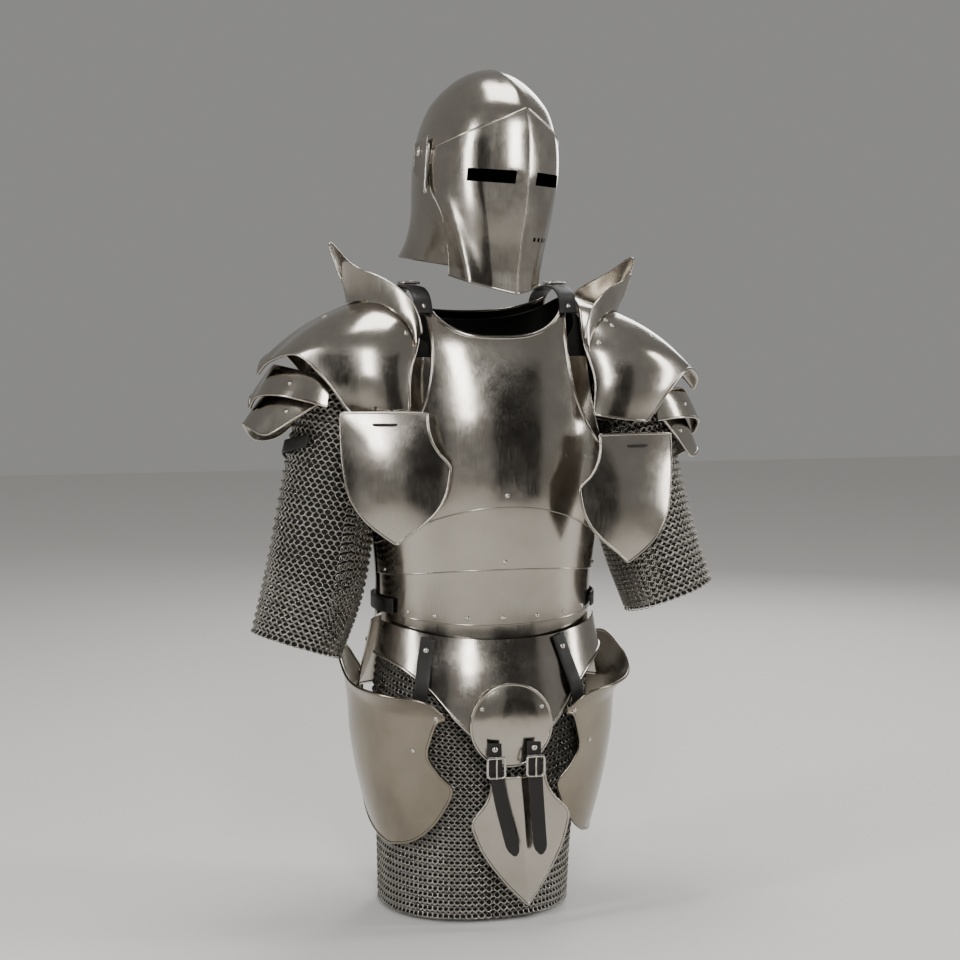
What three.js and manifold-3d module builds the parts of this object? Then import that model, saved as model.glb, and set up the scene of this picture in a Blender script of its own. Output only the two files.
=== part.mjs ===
// Suit of plate armour, worn and hollow: visored helmet, cuirass, fauld, tassets, spiked pauldrons with
// arm lames, besagews, a hanging cod plate and a mail shirt. Millimetres, +Z up, the front faces -Y and the
// wearer's left is +X. The origin lies between the shoulder tops, where the wearer carries the suit.
import * as THREE from "three";
import { mergeVertices } from "three/addons/utils/BufferGeometryUtils.js";
import Module from "manifold-3d";

const wasm = await Module();
wasm.setup();

// ---- driving sizes -------------------------------------------------------------------------------------
const SHEET = 1.5; // steel plate, about 16 gauge
const LEATHER = 2.6; // straps
const MAIL = 2.4; // wall of the mail
const LAP = 2.6; // step from one lapped plate to the next: a sheet and its clearance
const SQUARENESS = 2.25; // exponent of the torso sections, 2 is an ellipse

// Torso sections from the shoulders to the waist: half width and reach to the front and back.
const TORSO = [
  { z: 30, side: 138, front: 34, back: 52 },
  { z: 0, side: 158, front: 62, back: 82 },
  { z: -30, side: 166, front: 84, back: 97 },
  { z: -60, side: 168, front: 100, back: 106 },
  { z: -100, side: 166, front: 114, back: 111 },
  { z: -150, side: 163, front: 125, back: 112 },
  { z: -200, side: 161, front: 130, back: 108 },
  { z: -260, side: 158, front: 130, back: 103 },
  { z: -320, side: 152, front: 124, back: 97 },
  { z: -380, side: 147, front: 117, back: 92 },
  { z: -440, side: 148, front: 114, back: 92 },
  { z: -480, side: 152, front: 118, back: 96 },
];
// The fauld and the culet flare from the waist over the hips.
const HIPS = [
  { z: -430, side: 151, front: 118, back: 96 },
  { z: -460, side: 156, front: 125, back: 103 },
  { z: -500, side: 165, front: 137, back: 114 },
  { z: -550, side: 174, front: 148, back: 124 },
  { z: -610, side: 180, front: 156, back: 128 },
];
// The mail shirt's body: inside the cuirass, then hanging to the hem, a little to the wearer's right.
const SHIRT = [
  { z: 8, side: 104, front: 44, back: 60, lean: 0 },
  { z: -30, side: 140, front: 68, back: 82, lean: 0 },
  { z: -60, side: 151, front: 86, back: 93, lean: 0 },
  { z: -100, side: 154, front: 101, back: 98, lean: 0 },
  { z: -150, side: 151, front: 112, back: 99, lean: 0 },
  { z: -200, side: 149, front: 117, back: 95, lean: 0 },
  { z: -260, side: 146, front: 117, back: 90, lean: 0 },
  { z: -320, side: 140, front: 111, back: 84, lean: 0 },
  { z: -380, side: 135, front: 104, back: 80, lean: 0 },
  { z: -440, side: 136, front: 102, back: 80, lean: 0 },
  { z: -500, side: 143, front: 108, back: 90, lean: -2 },
  { z: -560, side: 146, front: 113, back: 97, lean: -5 },
  { z: -640, side: 143, front: 116, back: 100, lean: -9 },
  { z: -740, side: 132, front: 117, back: 101, lean: -13 },
  { z: -838, side: 128, front: 116, back: 100, lean: -15 },
];
// Mail sleeves, from the shoulder down the arm: the middle of each section and its radius.
const SLEEVES = {
  right: [
    { x: -150, y: 2, z: -62, radius: 54 },
    { x: -182, y: 0, z: -104, radius: 60 },
    { x: -200, y: -4, z: -180, radius: 62 },
    { x: -220, y: -8, z: -280, radius: 62 },
    { x: -240, y: -12, z: -385, radius: 63 },
    { x: -266, y: -16, z: -468, radius: 58 },
  ],
  left: [
    { x: 150, y: 2, z: -66, radius: 54 },
    { x: 182, y: -1, z: -108, radius: 60 },
    { x: 202, y: -7, z: -180, radius: 62 },
    { x: 220, y: -13, z: -262, radius: 62 },
    { x: 240, y: -20, z: -340, radius: 61 },
    { x: 266, y: -27, z: -416, radius: 59 },
  ],
};
// Helmet skull, measured from its own middle: half width at the face and at the nape, reach front and back.
const SKULL = [
  { z: 140, face: 0, nape: 0, front: 0, back: 0 },
  { z: 136, face: 16, nape: 16, front: 23, back: 20 },
  { z: 127, face: 35, nape: 35, front: 49, back: 46 },
  { z: 113, face: 52, nape: 52, front: 74, back: 69 },
  { z: 98, face: 65, nape: 65, front: 93, back: 87 },
  { z: 82, face: 75, nape: 75, front: 107, back: 100 },
  { z: 56, face: 84, nape: 84, front: 117, back: 111 },
  { z: 28, face: 89, nape: 89, front: 122, back: 119 },
  { z: 0, face: 90, nape: 90, front: 123, back: 123 },
  { z: -32, face: 87, nape: 89, front: 120, back: 123 },
  { z: -64, face: 81, nape: 88, front: 116, back: 121 },
  { z: -98, face: 74, nape: 92, front: 111, back: 129 },
  { z: -130, face: 70, nape: 102, front: 108, back: 150 },
];
const HELMET = { x: 0, y: -6, z: 173, yaw: 13, pitch: 3, roll: 2.8 };
const VISOR_PIVOT = { y: 10, z: 22 };
const VISOR_GAP = 2.4; // from the skull to the visor
const RIDGE = 6; // how far the visor's keel stands out

// ---- small mathematics ---------------------------------------------------------------------------------
const radians = THREE.MathUtils.degToRad;
const lerp = THREE.MathUtils.lerp;
const clamp = THREE.MathUtils.clamp;
const smoothstep = THREE.MathUtils.smoothstep;
const point = (x, y, z) => new THREE.Vector3(x, y, z);

// Reads one column of a table at any value of another, with a smooth cubic between the rows.
function column(rows, by, key) {
  const order = [...rows].sort((a, b) => a[by] - b[by]);
  const slope = order.map((row, i) => {
    const before = order[Math.max(i - 1, 0)];
    const after = order[Math.min(i + 1, order.length - 1)];
    return (after[key] - before[key]) / (after[by] - before[by]);
  });
  return (value) => {
    const v = clamp(value, order[0][by], order[order.length - 1][by]);
    const i = clamp(order.findIndex((row) => row[by] >= v) - 1, 0, order.length - 2);
    const span = order[i + 1][by] - order[i][by];
    const t = (v - order[i][by]) / span;
    const a = 2 * t ** 3 - 3 * t ** 2 + 1;
    const b = t ** 3 - 2 * t ** 2 + t;
    const c = -2 * t ** 3 + 3 * t ** 2;
    const d = t ** 3 - t ** 2;
    return a * order[i][key] + b * span * slope[i] + c * order[i + 1][key] + d * span * slope[i + 1];
  };
}

const signedPower = (value, power) => Math.sign(value) * Math.abs(value) ** power;

// A body section's point: angle 0 faces the front and 90 the wearer's left.
function sectionForm(table) {
  const side = column(table, "z", "side");
  const front = column(table, "z", "front");
  const back = column(table, "z", "back");
  const lean = "lean" in table[0] ? column(table, "z", "lean") : () => 0;
  return (angle, z) => {
    const s = Math.sin(radians(angle));
    const c = Math.cos(radians(angle));
    const reach = c > 0 ? front(z) : back(z);
    return point(
      lean(z) + side(z) * signedPower(s, 2 / SQUARENESS),
      -reach * signedPower(c, 2 / SQUARENESS),
      z,
    );
  };
}
const torso = sectionForm(TORSO);
const hips = sectionForm(HIPS);
const shirt = sectionForm(SHIRT);

// ---- forming a sheet -----------------------------------------------------------------------------------
// A closed wall between two grids of points, open or wrapped round along its first direction.
function wall(outer, inner, wrapped) {
  const positions = [];
  const rows = outer.length;
  const columns = outer[0].length;
  const steps = wrapped ? columns : columns - 1;
  const face = (...corners) => {
    const [a, b, c] = corners;
    if (a.distanceTo(b) < 1e-3 || b.distanceTo(c) < 1e-3 || c.distanceTo(a) < 1e-3) return;
    corners.forEach((p) => positions.push(p.x, p.y, p.z));
  };
  const quad = (a, b, c, d) => {
    face(a, b, c);
    face(a, c, d);
  };
  for (let j = 0; j < rows - 1; j++) {
    for (let i = 0; i < steps; i++) {
      const k = (i + 1) % columns;
      quad(outer[j][i], outer[j][k], outer[j + 1][k], outer[j + 1][i]);
      quad(inner[j][i], inner[j + 1][i], inner[j + 1][k], inner[j][k]);
    }
    if (!wrapped) {
      quad(outer[j][0], outer[j + 1][0], inner[j + 1][0], inner[j][0]);
      const last = columns - 1;
      quad(outer[j][last], inner[j][last], inner[j + 1][last], outer[j + 1][last]);
    }
  }
  for (let i = 0; i < steps; i++) {
    const k = (i + 1) % columns;
    const end = rows - 1;
    quad(outer[0][i], inner[0][i], inner[0][k], outer[0][k]);
    quad(outer[end][i], outer[end][k], inner[end][k], inner[end][i]);
  }
  const geometry = new THREE.BufferGeometry();
  geometry.setAttribute("position", new THREE.Float32BufferAttribute(positions, 3));
  return facingOut(geometry);
}

// Turns a closed geometry's faces outwards if they point inwards.
function facingOut(geometry) {
  const p = geometry.getAttribute("position");
  const [a, b, c] = [point(0, 0, 0), point(0, 0, 0), point(0, 0, 0)];
  let volume = 0;
  for (let i = 0; i < p.count; i += 3) {
    a.fromBufferAttribute(p, i);
    b.fromBufferAttribute(p, i + 1);
    c.fromBufferAttribute(p, i + 2);
    volume += a.dot(b.cross(c));
  }
  if (volume < 0) {
    for (let i = 0; i < p.count; i += 3) {
      b.fromBufferAttribute(p, i + 1);
      c.fromBufferAttribute(p, i + 2);
      p.setXYZ(i + 1, c.x, c.y, c.z);
      p.setXYZ(i + 2, b.x, b.y, b.z);
    }
  }
  return geometry;
}

// A plate formed over a surface: form(s, t) gives its inner face for s and t from 0 to 1. away is a point,
// or a function that gives one for s and t, that the plate's outside faces away from.
function plate({ form, across, along, thick = SHEET, lift = 0, away, wrapped = false }) {
  const step = 1e-3;
  const outer = [];
  const inner = [];
  for (let j = 0; j <= along; j++) {
    const outerRow = [];
    const innerRow = [];
    for (let i = 0; i < across + (wrapped ? 0 : 1); i++) {
      const s = i / across;
      const t = j / along;
      const p = form(s, t);
      const alongS = form(wrapped ? s + step : Math.min(s + step, 1), t);
      alongS.sub(form(wrapped ? s - step : Math.max(s - step, 0), t));
      const alongT = form(s, Math.min(t + step, 1)).sub(form(s, Math.max(t - step, 0)));
      let normal = alongS.cross(alongT);
      const outward = p.clone().sub(typeof away === "function" ? away(s, t) : away);
      if (normal.length() < 1e-9) normal = outward.clone();
      normal.normalize();
      if (normal.dot(outward) < 0) normal.negate();
      outerRow.push(p.clone().addScaledVector(normal, lift + thick));
      innerRow.push(p.clone().addScaledVector(normal, lift));
    }
    outer.push(outerRow);
    inner.push(innerRow);
  }
  return wall(outer, inner, wrapped);
}

// A strap: a flat strip through points, each with the direction that its width runs in.
function strap(stations, width, thick, steps, away) {
  const spine = new THREE.CatmullRomCurve3(stations.map((row) => point(...row.at)), false, "centripetal");
  const across = (t) => {
    const place = t * (stations.length - 1);
    const i = Math.min(Math.floor(place), stations.length - 2);
    return point(...stations[i].wide).lerp(point(...stations[i + 1].wide), place - i).normalize();
  };
  return plate({
    form: (s, t) => spine.getPoint(t).addScaledVector(across(t), (s - 0.5) * width),
    across: 1,
    along: steps,
    thick,
    away,
  });
}

// A square-section frame, as a buckle's, in its own XZ plane.
function frameRing(width, height, wire) {
  const shape = new THREE.Shape([
    new THREE.Vector2(-width / 2, -height / 2),
    new THREE.Vector2(width / 2, -height / 2),
    new THREE.Vector2(width / 2, height / 2),
    new THREE.Vector2(-width / 2, height / 2),
  ]);
  const w = width / 2 - wire;
  const h = height / 2 - wire;
  shape.holes.push(
    new THREE.Path([
      new THREE.Vector2(-w, -h),
      new THREE.Vector2(-w, h),
      new THREE.Vector2(w, h),
      new THREE.Vector2(w, -h),
    ]),
  );
  const ring = new THREE.ExtrudeGeometry(shape, { depth: wire, bevelEnabled: false });
  return ring.translate(0, 0, -wire / 2).rotateX(Math.PI / 2);
}

// ---- joining and cutting -------------------------------------------------------------------------------
function toSolid(geometry) {
  const bare = geometry.clone();
  bare.deleteAttribute("normal");
  bare.deleteAttribute("uv");
  const merged = mergeVertices(bare, 1e-4);
  return new wasm.Manifold(
    new wasm.Mesh({
      numProp: 3,
      vertProperties: new Float32Array(merged.attributes.position.array),
      triVerts: new Uint32Array(merged.index.array),
    }),
  );
}

function toGeometry(solid) {
  const mesh = solid.getMesh();
  const positions = new Float32Array(mesh.numVert * 3);
  for (let i = 0; i < mesh.numVert; i++) {
    positions.set(mesh.vertProperties.subarray(i * mesh.numProp, i * mesh.numProp + 3), i * 3);
  }
  const geometry = new THREE.BufferGeometry();
  geometry.setAttribute("position", new THREE.BufferAttribute(positions, 3));
  geometry.setIndex(new THREE.BufferAttribute(mesh.triVerts, 1));
  return geometry;
}

// Keeps the largest piece of a solid that a cut left in several.
function largest(solid) {
  return solid.decompose().reduce((best, piece) => (piece.volume() > best.volume() ? piece : best));
}

const cutAway = (geometry, ...tools) =>
  toGeometry(largest(tools.reduce((left, tool) => left.subtract(toSolid(tool)), toSolid(geometry))));

// ---- materials -----------------------------------------------------------------------------------------
const steel = new THREE.MeshStandardMaterial({ color: 0xa9a49b, roughness: 0.28, metalness: 1 });
const bright = new THREE.MeshStandardMaterial({ color: 0xc8c4bc, roughness: 0.22, metalness: 1 });
const leather = new THREE.MeshStandardMaterial({ color: 0x16130f, roughness: 0.6, metalness: 0 });
const mail = new THREE.MeshStandardMaterial({ color: 0x7d7a72, roughness: 0.45, metalness: 1 });

const suit = new THREE.Group();

// Adds a named piece to a group.
function add(name, geometry, material, parent = suit) {
  const mesh = new THREE.Mesh(geometry, material);
  mesh.name = name;
  parent.add(mesh);
  return mesh;
}

const SIDES = [
  { name: "right", sign: -1 },
  { name: "left", sign: 1 },
];
const MIDRIFF = point(0, 0, -250);

// ---- cuirass -------------------------------------------------------------------------------------------
// The breast's armhole edge from the point at the shoulder to the armpit, and its plain side seam below.
const ARMHOLE = [
  { z: -3, x: 97 },
  { z: -32, x: 92 },
  { z: -62, x: 90 },
  { z: -96, x: 92 },
  { z: -130, x: 99 },
  { z: -165, x: 114 },
  { z: -190, x: 133 },
  { z: -207, x: 150 },
];
const SEAM_ANGLE = 82; // where the front plates stop, towards the side
const armholeX = column(ARMHOLE, "z", "x");
const torsoSide = column(TORSO, "z", "side");
const angleOut = (x, side) => (Math.asin(Math.min((x / side) ** (SQUARENESS / 2), 1)) * 180) / Math.PI;
const angleAt = (x, z) => angleOut(x, torsoSide(z));
const ARMPIT_Z = -207;
const edgeAngle = (z) => Math.min(z < ARMPIT_Z ? SEAM_ANGLE : angleAt(armholeX(z), z), SEAM_ANGLE);

const NECK = { halfWidth: 97, depth: 51, top: -3 };
const neckZ = (x) => NECK.top - NECK.depth * (1 - Math.abs(x / NECK.halfWidth) ** 2.6);
// Lower edges of the lapped front plates, at the middle and how far they drop by the side.
const breastEdge = (x) => -274 - 56 * (x / 155) ** 2;
const bellyEdge = (x) => -359 - 12 * (x / 150) ** 2;
const waistEdge = (x) => -436 + 12 * (x / 150) ** 2;
const bandEdge = (x) => -474 + 12 * (x / 150) ** 2;
const FRONT_COLUMNS = 16;

add(
  "breastplate",
  plate({
    form: (s, t) => {
      const side = 2 * s - 1;
      const seamZ = lerp(NECK.top, breastEdge(153), t);
      const angle = side * edgeAngle(seamZ);
      const topX = NECK.halfWidth * side;
      const bottomX = 155 * Math.sin(radians(side * SEAM_ANGLE));
      return torso(angle, lerp(neckZ(topX), breastEdge(bottomX), t));
    },
    across: FRONT_COLUMNS,
    along: 10,
    lift: 3 * LAP,
    away: MIDRIFF,
  }),
  steel,
);

// A belt of plate between two edges, over the front of the torso.
function beltPlate(top, bottom, lift, rows) {
  return plate({
    form: (s, t) => {
      const angle = (2 * s - 1) * SEAM_ANGLE;
      const x = 155 * Math.sin(radians(angle));
      return torso(angle, lerp(top(x), bottom(x), t));
    },
    across: FRONT_COLUMNS,
    along: rows,
    lift,
    away: MIDRIFF,
  });
}
const UNDERLAP = 16; // how far a plate runs up under the one above
add("belly_plate_upper", beltPlate((x) => breastEdge(x) + UNDERLAP, bellyEdge, 2 * LAP, 3), steel);
add("belly_plate_lower", beltPlate((x) => bellyEdge(x) + UNDERLAP, waistEdge, LAP, 3), steel);
add("waist_band", beltPlate((x) => waistEdge(x) + UNDERLAP, bandEdge, 0, 2), steel);

// Fauld: one flared belly plate that comes down to a point over the thighs.
const FAULD_EDGE = [
  { x: 0, z: -604 },
  { x: 25, z: -594 },
  { x: 60, z: -562 },
  { x: 100, z: -520 },
  { x: 140, z: -494 },
  { x: 180, z: -478 },
];
const fauldZ = column(FAULD_EDGE, "x", "z");
const FAULD_ANGLE = 78;
add(
  "fauld",
  plate({
    form: (s, t) => {
      const angle = (2 * s - 1) * FAULD_ANGLE;
      const x = 178 * Math.abs(Math.sin(radians(angle)));
      return hips(angle, lerp(-455 + 14 * (x / 150) ** 2, fauldZ(x), t));
    },
    across: 20,
    along: 5,
    lift: LAP,
    away: MIDRIFF,
  }),
  steel,
);

// Backplate and culet close the cuirass behind.
const BACK_SEAM = 96; // angle from the front at which the back plates start
const BACK_ARMHOLE = [
  { z: 2, x: 106 },
  { z: -40, x: 106 },
  { z: -90, x: 110 },
  { z: -140, x: 121 },
  { z: -180, x: 137 },
  { z: -207, x: 152 },
];
const backArmholeX = column(BACK_ARMHOLE, "z", "x");
const backEdgeAngle = (z) =>
  Math.min(z < ARMPIT_Z ? 180 - BACK_SEAM : angleAt(backArmholeX(z), z), 180 - BACK_SEAM);
add(
  "backplate",
  plate({
    form: (s, t) => {
      const side = 2 * s - 1;
      const angle = 180 - side * backEdgeAngle(lerp(2, -440, t));
      const topZ = 2 - 20 * (1 - Math.abs(side) ** 2.2);
      return torso(angle, lerp(topZ, -440, t));
    },
    across: 14,
    along: 10,
    lift: LAP,
    away: MIDRIFF,
  }),
  steel,
);
add(
  "culet",
  plate({
    form: (s, t) => {
      const side = 2 * s - 1;
      const angle = 180 - side * (180 - BACK_SEAM);
      return hips(angle, lerp(-446, -536 - 14 * (1 - side ** 2), t));
    },
    across: 14,
    along: 3,
    lift: LAP,
    away: MIDRIFF,
  }),
  steel,
);

// Arm gussets show past the breast's armhole edges.
for (const { name, sign } of SIDES) {
  add(
    `gusset_${name}`,
    plate({
      form: (s, t) => {
        const z = lerp(-76, -186, t);
        const wing = lerp(-7, 15, s) - 5 * Math.sin(Math.PI * t) * (s - 1);
        const p = torso(sign * Math.min(edgeAngle(z) + wing, 80), z);
        return p.setX(p.x + sign * 4 * s ** 2);
      },
      across: 3,
      along: 5,
      lift: -1.4,
      away: MIDRIFF,
    }),
    steel,
  );
}

// Shoulder straps join breast and back over the shoulders, each with its buckle on top.
for (const { name, sign } of SIDES) {
  const wide = [1, 0, 0];
  const line = [
    { at: [sign * 100, -82, -18], wide },
    { at: [sign * 101, -70, 2], wide },
    { at: [sign * 102, -46, 13], wide },
    { at: [sign * 104, -12, 17], wide },
    { at: [sign * 105, 26, 18], wide },
    { at: [sign * 105, 60, 14], wide },
    { at: [sign * 104, 84, 3], wide },
    { at: [sign * 103, 94, -14], wide },
  ];
  add(`shoulder_strap_${name}`, strap(line, 24, LEATHER, 18, point(sign * 104, 10, -200)), leather);
  const buckle = add(`shoulder_buckle_${name}`, frameRing(30, 26, 3), bright);
  buckle.rotation.x = Math.PI / 2;
  buckle.position.set(sign * 104, 0, 23.6);
}

// Side straps close the cuirass at the waist.
for (const { name, sign } of SIDES) {
  const turn = [62, 72, 82, 92, 102, 112];
  const line = turn.map((angle) => {
    const p = torso(sign * angle, -416);
    const out = point(p.x, p.y, 0).normalize().multiplyScalar(3 * LAP);
    return { at: [p.x + out.x, p.y + out.y, -414], wide: [0, 0, 1] };
  });
  add(`side_strap_${name}`, strap(line, 20, LEATHER, 12, point(0, 0, -414)), leather);
}

// ---- cod plates ----------------------------------------------------------------------------------------
const DISC = { x: 0, y: -163, z: -564, radius: 55, dome: 7 };
add(
  "cod_disc",
  new THREE.LatheGeometry(
    [
      [0, DISC.dome],
      [18, DISC.dome - 0.6],
      [36, DISC.dome - 2.6],
      [50, DISC.dome - 6],
      [DISC.radius, DISC.dome - 7.2],
      [DISC.radius, DISC.dome - 10.4],
      [49, DISC.dome - 8],
      [36, DISC.dome - 4.4],
      [18, DISC.dome - 2.3],
      [0, DISC.dome - 1.7],
    ]
      .reverse()
      .map(([r, h]) => new THREE.Vector2(r, h)),
    22,
  )
    .rotateX(Math.PI)
    .translate(DISC.x, DISC.y, DISC.z),
  steel,
);

// The hanging shield below the disc: a keeled ogee, swung a little to the wearer's left.
const OGEE = [
  { drop: 0, half: 36 },
  { drop: 14, half: 38 },
  { drop: 34, half: 47 },
  { drop: 58, half: 66 },
  { drop: 78, half: 63 },
  { drop: 102, half: 54 },
  { drop: 128, half: 39 },
  { drop: 154, half: 20 },
  { drop: 176, half: 1.2 },
];
const ogeeHalf = column(OGEE, "drop", "half");
const hanging = new THREE.Group();
hanging.position.set(11, -150, -634);
hanging.rotation.set(radians(2), radians(-4.3), 0);
suit.add(hanging);
const ogeeForm = (s, t) => {
  const drop = 176 * t;
  const x = (2 * s - 1) * ogeeHalf(drop);
  return point(x, -15 * Math.max(1 - Math.abs(x) / 68, 0) ** 1.4 - 4 * Math.sin(Math.PI * t), -drop);
};
add(
  "cod_shield",
  plate({ form: ogeeForm, across: 8, along: 12, away: point(0, 300, -80) }),
  steel,
  hanging,
);

// Two buckled straps hold the shield to the disc; their tails hang over its face.
for (const { name, sign } of SIDES) {
  const wide = [1, 0, -0.06];
  const line = [
    { at: [sign * 27, -175, -584], wide },
    { at: [sign * 27, -177, -604], wide },
    { at: [sign * 27 + 2, -176, -622], wide },
    { at: [sign * 26 + 4, -176, -642], wide },
    { at: [sign * 24 + 8, -176, -672], wide },
    { at: [sign * 21 + 13, -177, -704], wide },
    { at: [sign * 18 + 19, -176, -738], wide },
  ];
  add(`cod_strap_${name}`, strap(line, 19, LEATHER, 14, point(0, 300, -650)), leather);
  const buckle = add(`cod_buckle_${name}`, frameRing(27, 30, 3), bright);
  buckle.position.set(sign * 27 + 1, -182.4, -616);
}

// ---- tassets -------------------------------------------------------------------------------------------
// Each tasset wraps the thigh from the front to behind the hip. Angle counts from the front.
const THIGH = [
  { z: -430, side: 203, front: 176, back: 150 },
  { z: -480, side: 198, front: 170, back: 146 },
  { z: -530, side: 192, front: 163, back: 140 },
  { z: -552, side: 189, front: 160, back: 137 },
  { z: -600, side: 186, front: 157, back: 132 },
  { z: -660, side: 176, front: 150, back: 124 },
  { z: -720, side: 161, front: 141, back: 116 },
  { z: -760, side: 148, front: 134, back: 112 },
];
const thigh = sectionForm(THIGH);
// Front edge of the body: a notch between the upper tip and the cusp, then the rounded foot.
const TASSET_FRONT = [
  { z: -556, angle: 25 },
  { z: -574, angle: 29.5 },
  { z: -604, angle: 33.5 },
  { z: -632, angle: 28.5 },
  { z: -652, angle: 23 },
  { z: -684, angle: 28 },
  { z: -712, angle: 37 },
  { z: -732, angle: 50 },
  { z: -741, angle: 66 },
];
const TASSET_BACK = [
  { z: -556, angle: 128 },
  { z: -604, angle: 124 },
  { z: -652, angle: 117 },
  { z: -684, angle: 108 },
  { z: -712, angle: 97 },
  { z: -732, angle: 84 },
  { z: -741, angle: 70 },
];
// The flange's free edge and how far it leans out, from the front tip round to the back.
const FLANGE = [
  { angle: 25, z: -551, lean: 2 },
  { angle: 32, z: -531, lean: 10 },
  { angle: 48, z: -524, lean: 17 },
  { angle: 68, z: -516, lean: 17 },
  { angle: 86, z: -494, lean: 8 },
  { angle: 102, z: -479, lean: 2 },
  { angle: 117, z: -490, lean: 2 },
  { angle: 128, z: -520, lean: 3 },
];
const FLANGE_SHARE = 0.28; // rows of the grid that the flange takes
const tassetFront = column(TASSET_FRONT, "z", "angle");
const tassetBack = column(TASSET_BACK, "z", "angle");
const flangeZ = column(FLANGE, "angle", "z");
const flangeLean = column(FLANGE, "angle", "lean");
const CREASE_Z = -556;
const creaseZ = (angle) => CREASE_Z + 22 * smoothstep(angle, 35, 100);
function tassetForm(sign) {
  return (s, t) => {
    if (t < FLANGE_SHARE) {
      const angle = lerp(25, 128, s);
      const up = 1 - t / FLANGE_SHARE;
      const z = lerp(creaseZ(angle), Math.max(flangeZ(angle), creaseZ(angle) + 4), up);
      const p = thigh(sign * angle, z);
      const out = point(p.x, p.y, 0).normalize();
      return p.addScaledVector(out, flangeLean(angle) * up ** 1.6);
    }
    const down = (t - FLANGE_SHARE) / (1 - FLANGE_SHARE);
    const z = lerp(CREASE_Z, -741, down);
    const angle = lerp(tassetFront(z), tassetBack(z), s);
    const level = lerp(creaseZ(lerp(25, 128, s)), z, smoothstep(down, 0, 0.2));
    return thigh(sign * angle, down < 0.2 ? Math.max(level, z) : z);
  };
}
// The wearer's left tasset hangs a little higher and closer in.
const TASSET_HANG = {
  right: { x: 0, z: 0 },
  left: { x: -6, z: 2 },
};
for (const { name, sign } of SIDES) {
  const hang = TASSET_HANG[name];
  const group = new THREE.Group();
  group.position.set(hang.x, 0, hang.z);
  suit.add(group);
  add(
    `tasset_${name}`,
    plate({ form: tassetForm(sign), across: 12, along: 15, away: point(0, 0, -600) }),
    steel,
    group,
  );
}

// Leather hangers from the fauld down behind each tasset's flange: how far out they start and end.
const hipsSide = column(HIPS, "z", "side");
const thighSide = column(THIGH, "z", "side");
const HANGER = { right: { top: 101, foot: 118 }, left: { top: 76, foot: 101 } };
for (const { name, sign } of SIDES) {
  const { top, foot } = HANGER[name];
  const wide = [1, sign * 0.5, sign * 0.28];
  const line = [0, 0.25, 0.5, 0.75, 1].map((down) => {
    const out = lerp(top, foot, Math.min(1.5 * down, 1));
    const z = lerp(-452, -574, down);
    const seat = hips(angleOut(out, hipsSide(z)), z);
    const inside = thigh(angleOut(out, thighSide(z)), z).y + 9;
    const front = lerp(seat.y - LAP - SHEET - 3.2, inside, smoothstep(down, 0.25, 0.75));
    return { at: [sign * out, front, z], wide };
  });
  add(`tasset_strap_${name}`, strap(line, 20, LEATHER, 10, point(0, 0, -480)), leather);
}

// ---- pauldrons -----------------------------------------------------------------------------------------
// Ribs of the shoulder cap from the top (0) to the foot of its front wing (1): the inner and outer ends,
// outward from the middle of the body, and the rise between them. The back wing mirrors the front one.
const CAP = [
  { at: 0, inO: 120, inY: 0, inZ: 18, outO: 312, outY: 0, outZ: -94, rise: 26 },
  { at: 0.25, inO: 114, inY: -56, inZ: 2, outO: 300, outY: -40, outZ: -75, rise: 26 },
  { at: 0.5, inO: 112, inY: -98, inZ: -42, outO: 270, outY: -80, outZ: -66, rise: 24 },
  { at: 0.75, inO: 127, inY: -117, inZ: -90, outO: 238, outY: -104, outZ: -96, rise: 18 },
  { at: 1, inO: 130, inY: -122, inZ: -138, outO: 206, outY: -116, outZ: -141, rise: 8 },
];
const cap = Object.fromEntries(
  ["inO", "inY", "inZ", "outO", "outY", "outZ", "rise"].map((key) => [key, column(CAP, "at", key)]),
);
const ARM_HEART = { out: 190, y: 0, z: -130 };
const BACK_SHARE = 0.86; // the back wing reaches this much of the front wing's depth
// across runs from the neck side to the arm, round from the foot of the front wing (-1) to the back's (1).
function capPoint(sign, across, round) {
  const at = Math.abs(round);
  const behind = round > 0 ? -BACK_SHARE : 1;
  const inner = point(cap.inO(at), cap.inY(at) * behind, cap.inZ(at));
  const outer = point(cap.outO(at), cap.outY(at) * behind, cap.outZ(at));
  const p = inner.clone().lerp(outer, across);
  const up = p.clone().sub(point(ARM_HEART.out, ARM_HEART.y, ARM_HEART.z)).normalize();
  p.addScaledVector(up, cap.rise(at) * 4 * across * (1 - across) * (1 - 0.25 * across));
  return p.setX(p.x * sign);
}
// The haute-piece: a fin along the top of the cap with a front point and a taller rear one.
const FIN = [
  { round: -0.58, across: 0.03, rise: 17, lean: -8 },
  { round: -0.46, across: 0.1, rise: 28, lean: -6 },
  { round: -0.36, across: 0.17, rise: 31, lean: -3 },
  { round: -0.26, across: 0.23, rise: 34, lean: 2 },
  { round: -0.16, across: 0.29, rise: 41, lean: 9 },
  { round: -0.06, across: 0.33, rise: 53, lean: 16 },
  { round: 0.02, across: 0.35, rise: 26, lean: 8 },
  { round: 0.1, across: 0.36, rise: 81, lean: 24 },
  { round: 0.2, across: 0.29, rise: 54, lean: 13 },
  { round: 0.32, across: 0.2, rise: 38, lean: 4 },
  { round: 0.44, across: 0.12, rise: 30, lean: -2 },
  { round: 0.56, across: 0.04, rise: 17, lean: -8 },
];
FIN.forEach((row, i) => {
  row.step = i / (FIN.length - 1);
});
const fin = Object.fromEntries(
  ["round", "across", "rise", "lean"].map((key) => [key, column(FIN, "step", key)]),
);
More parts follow.
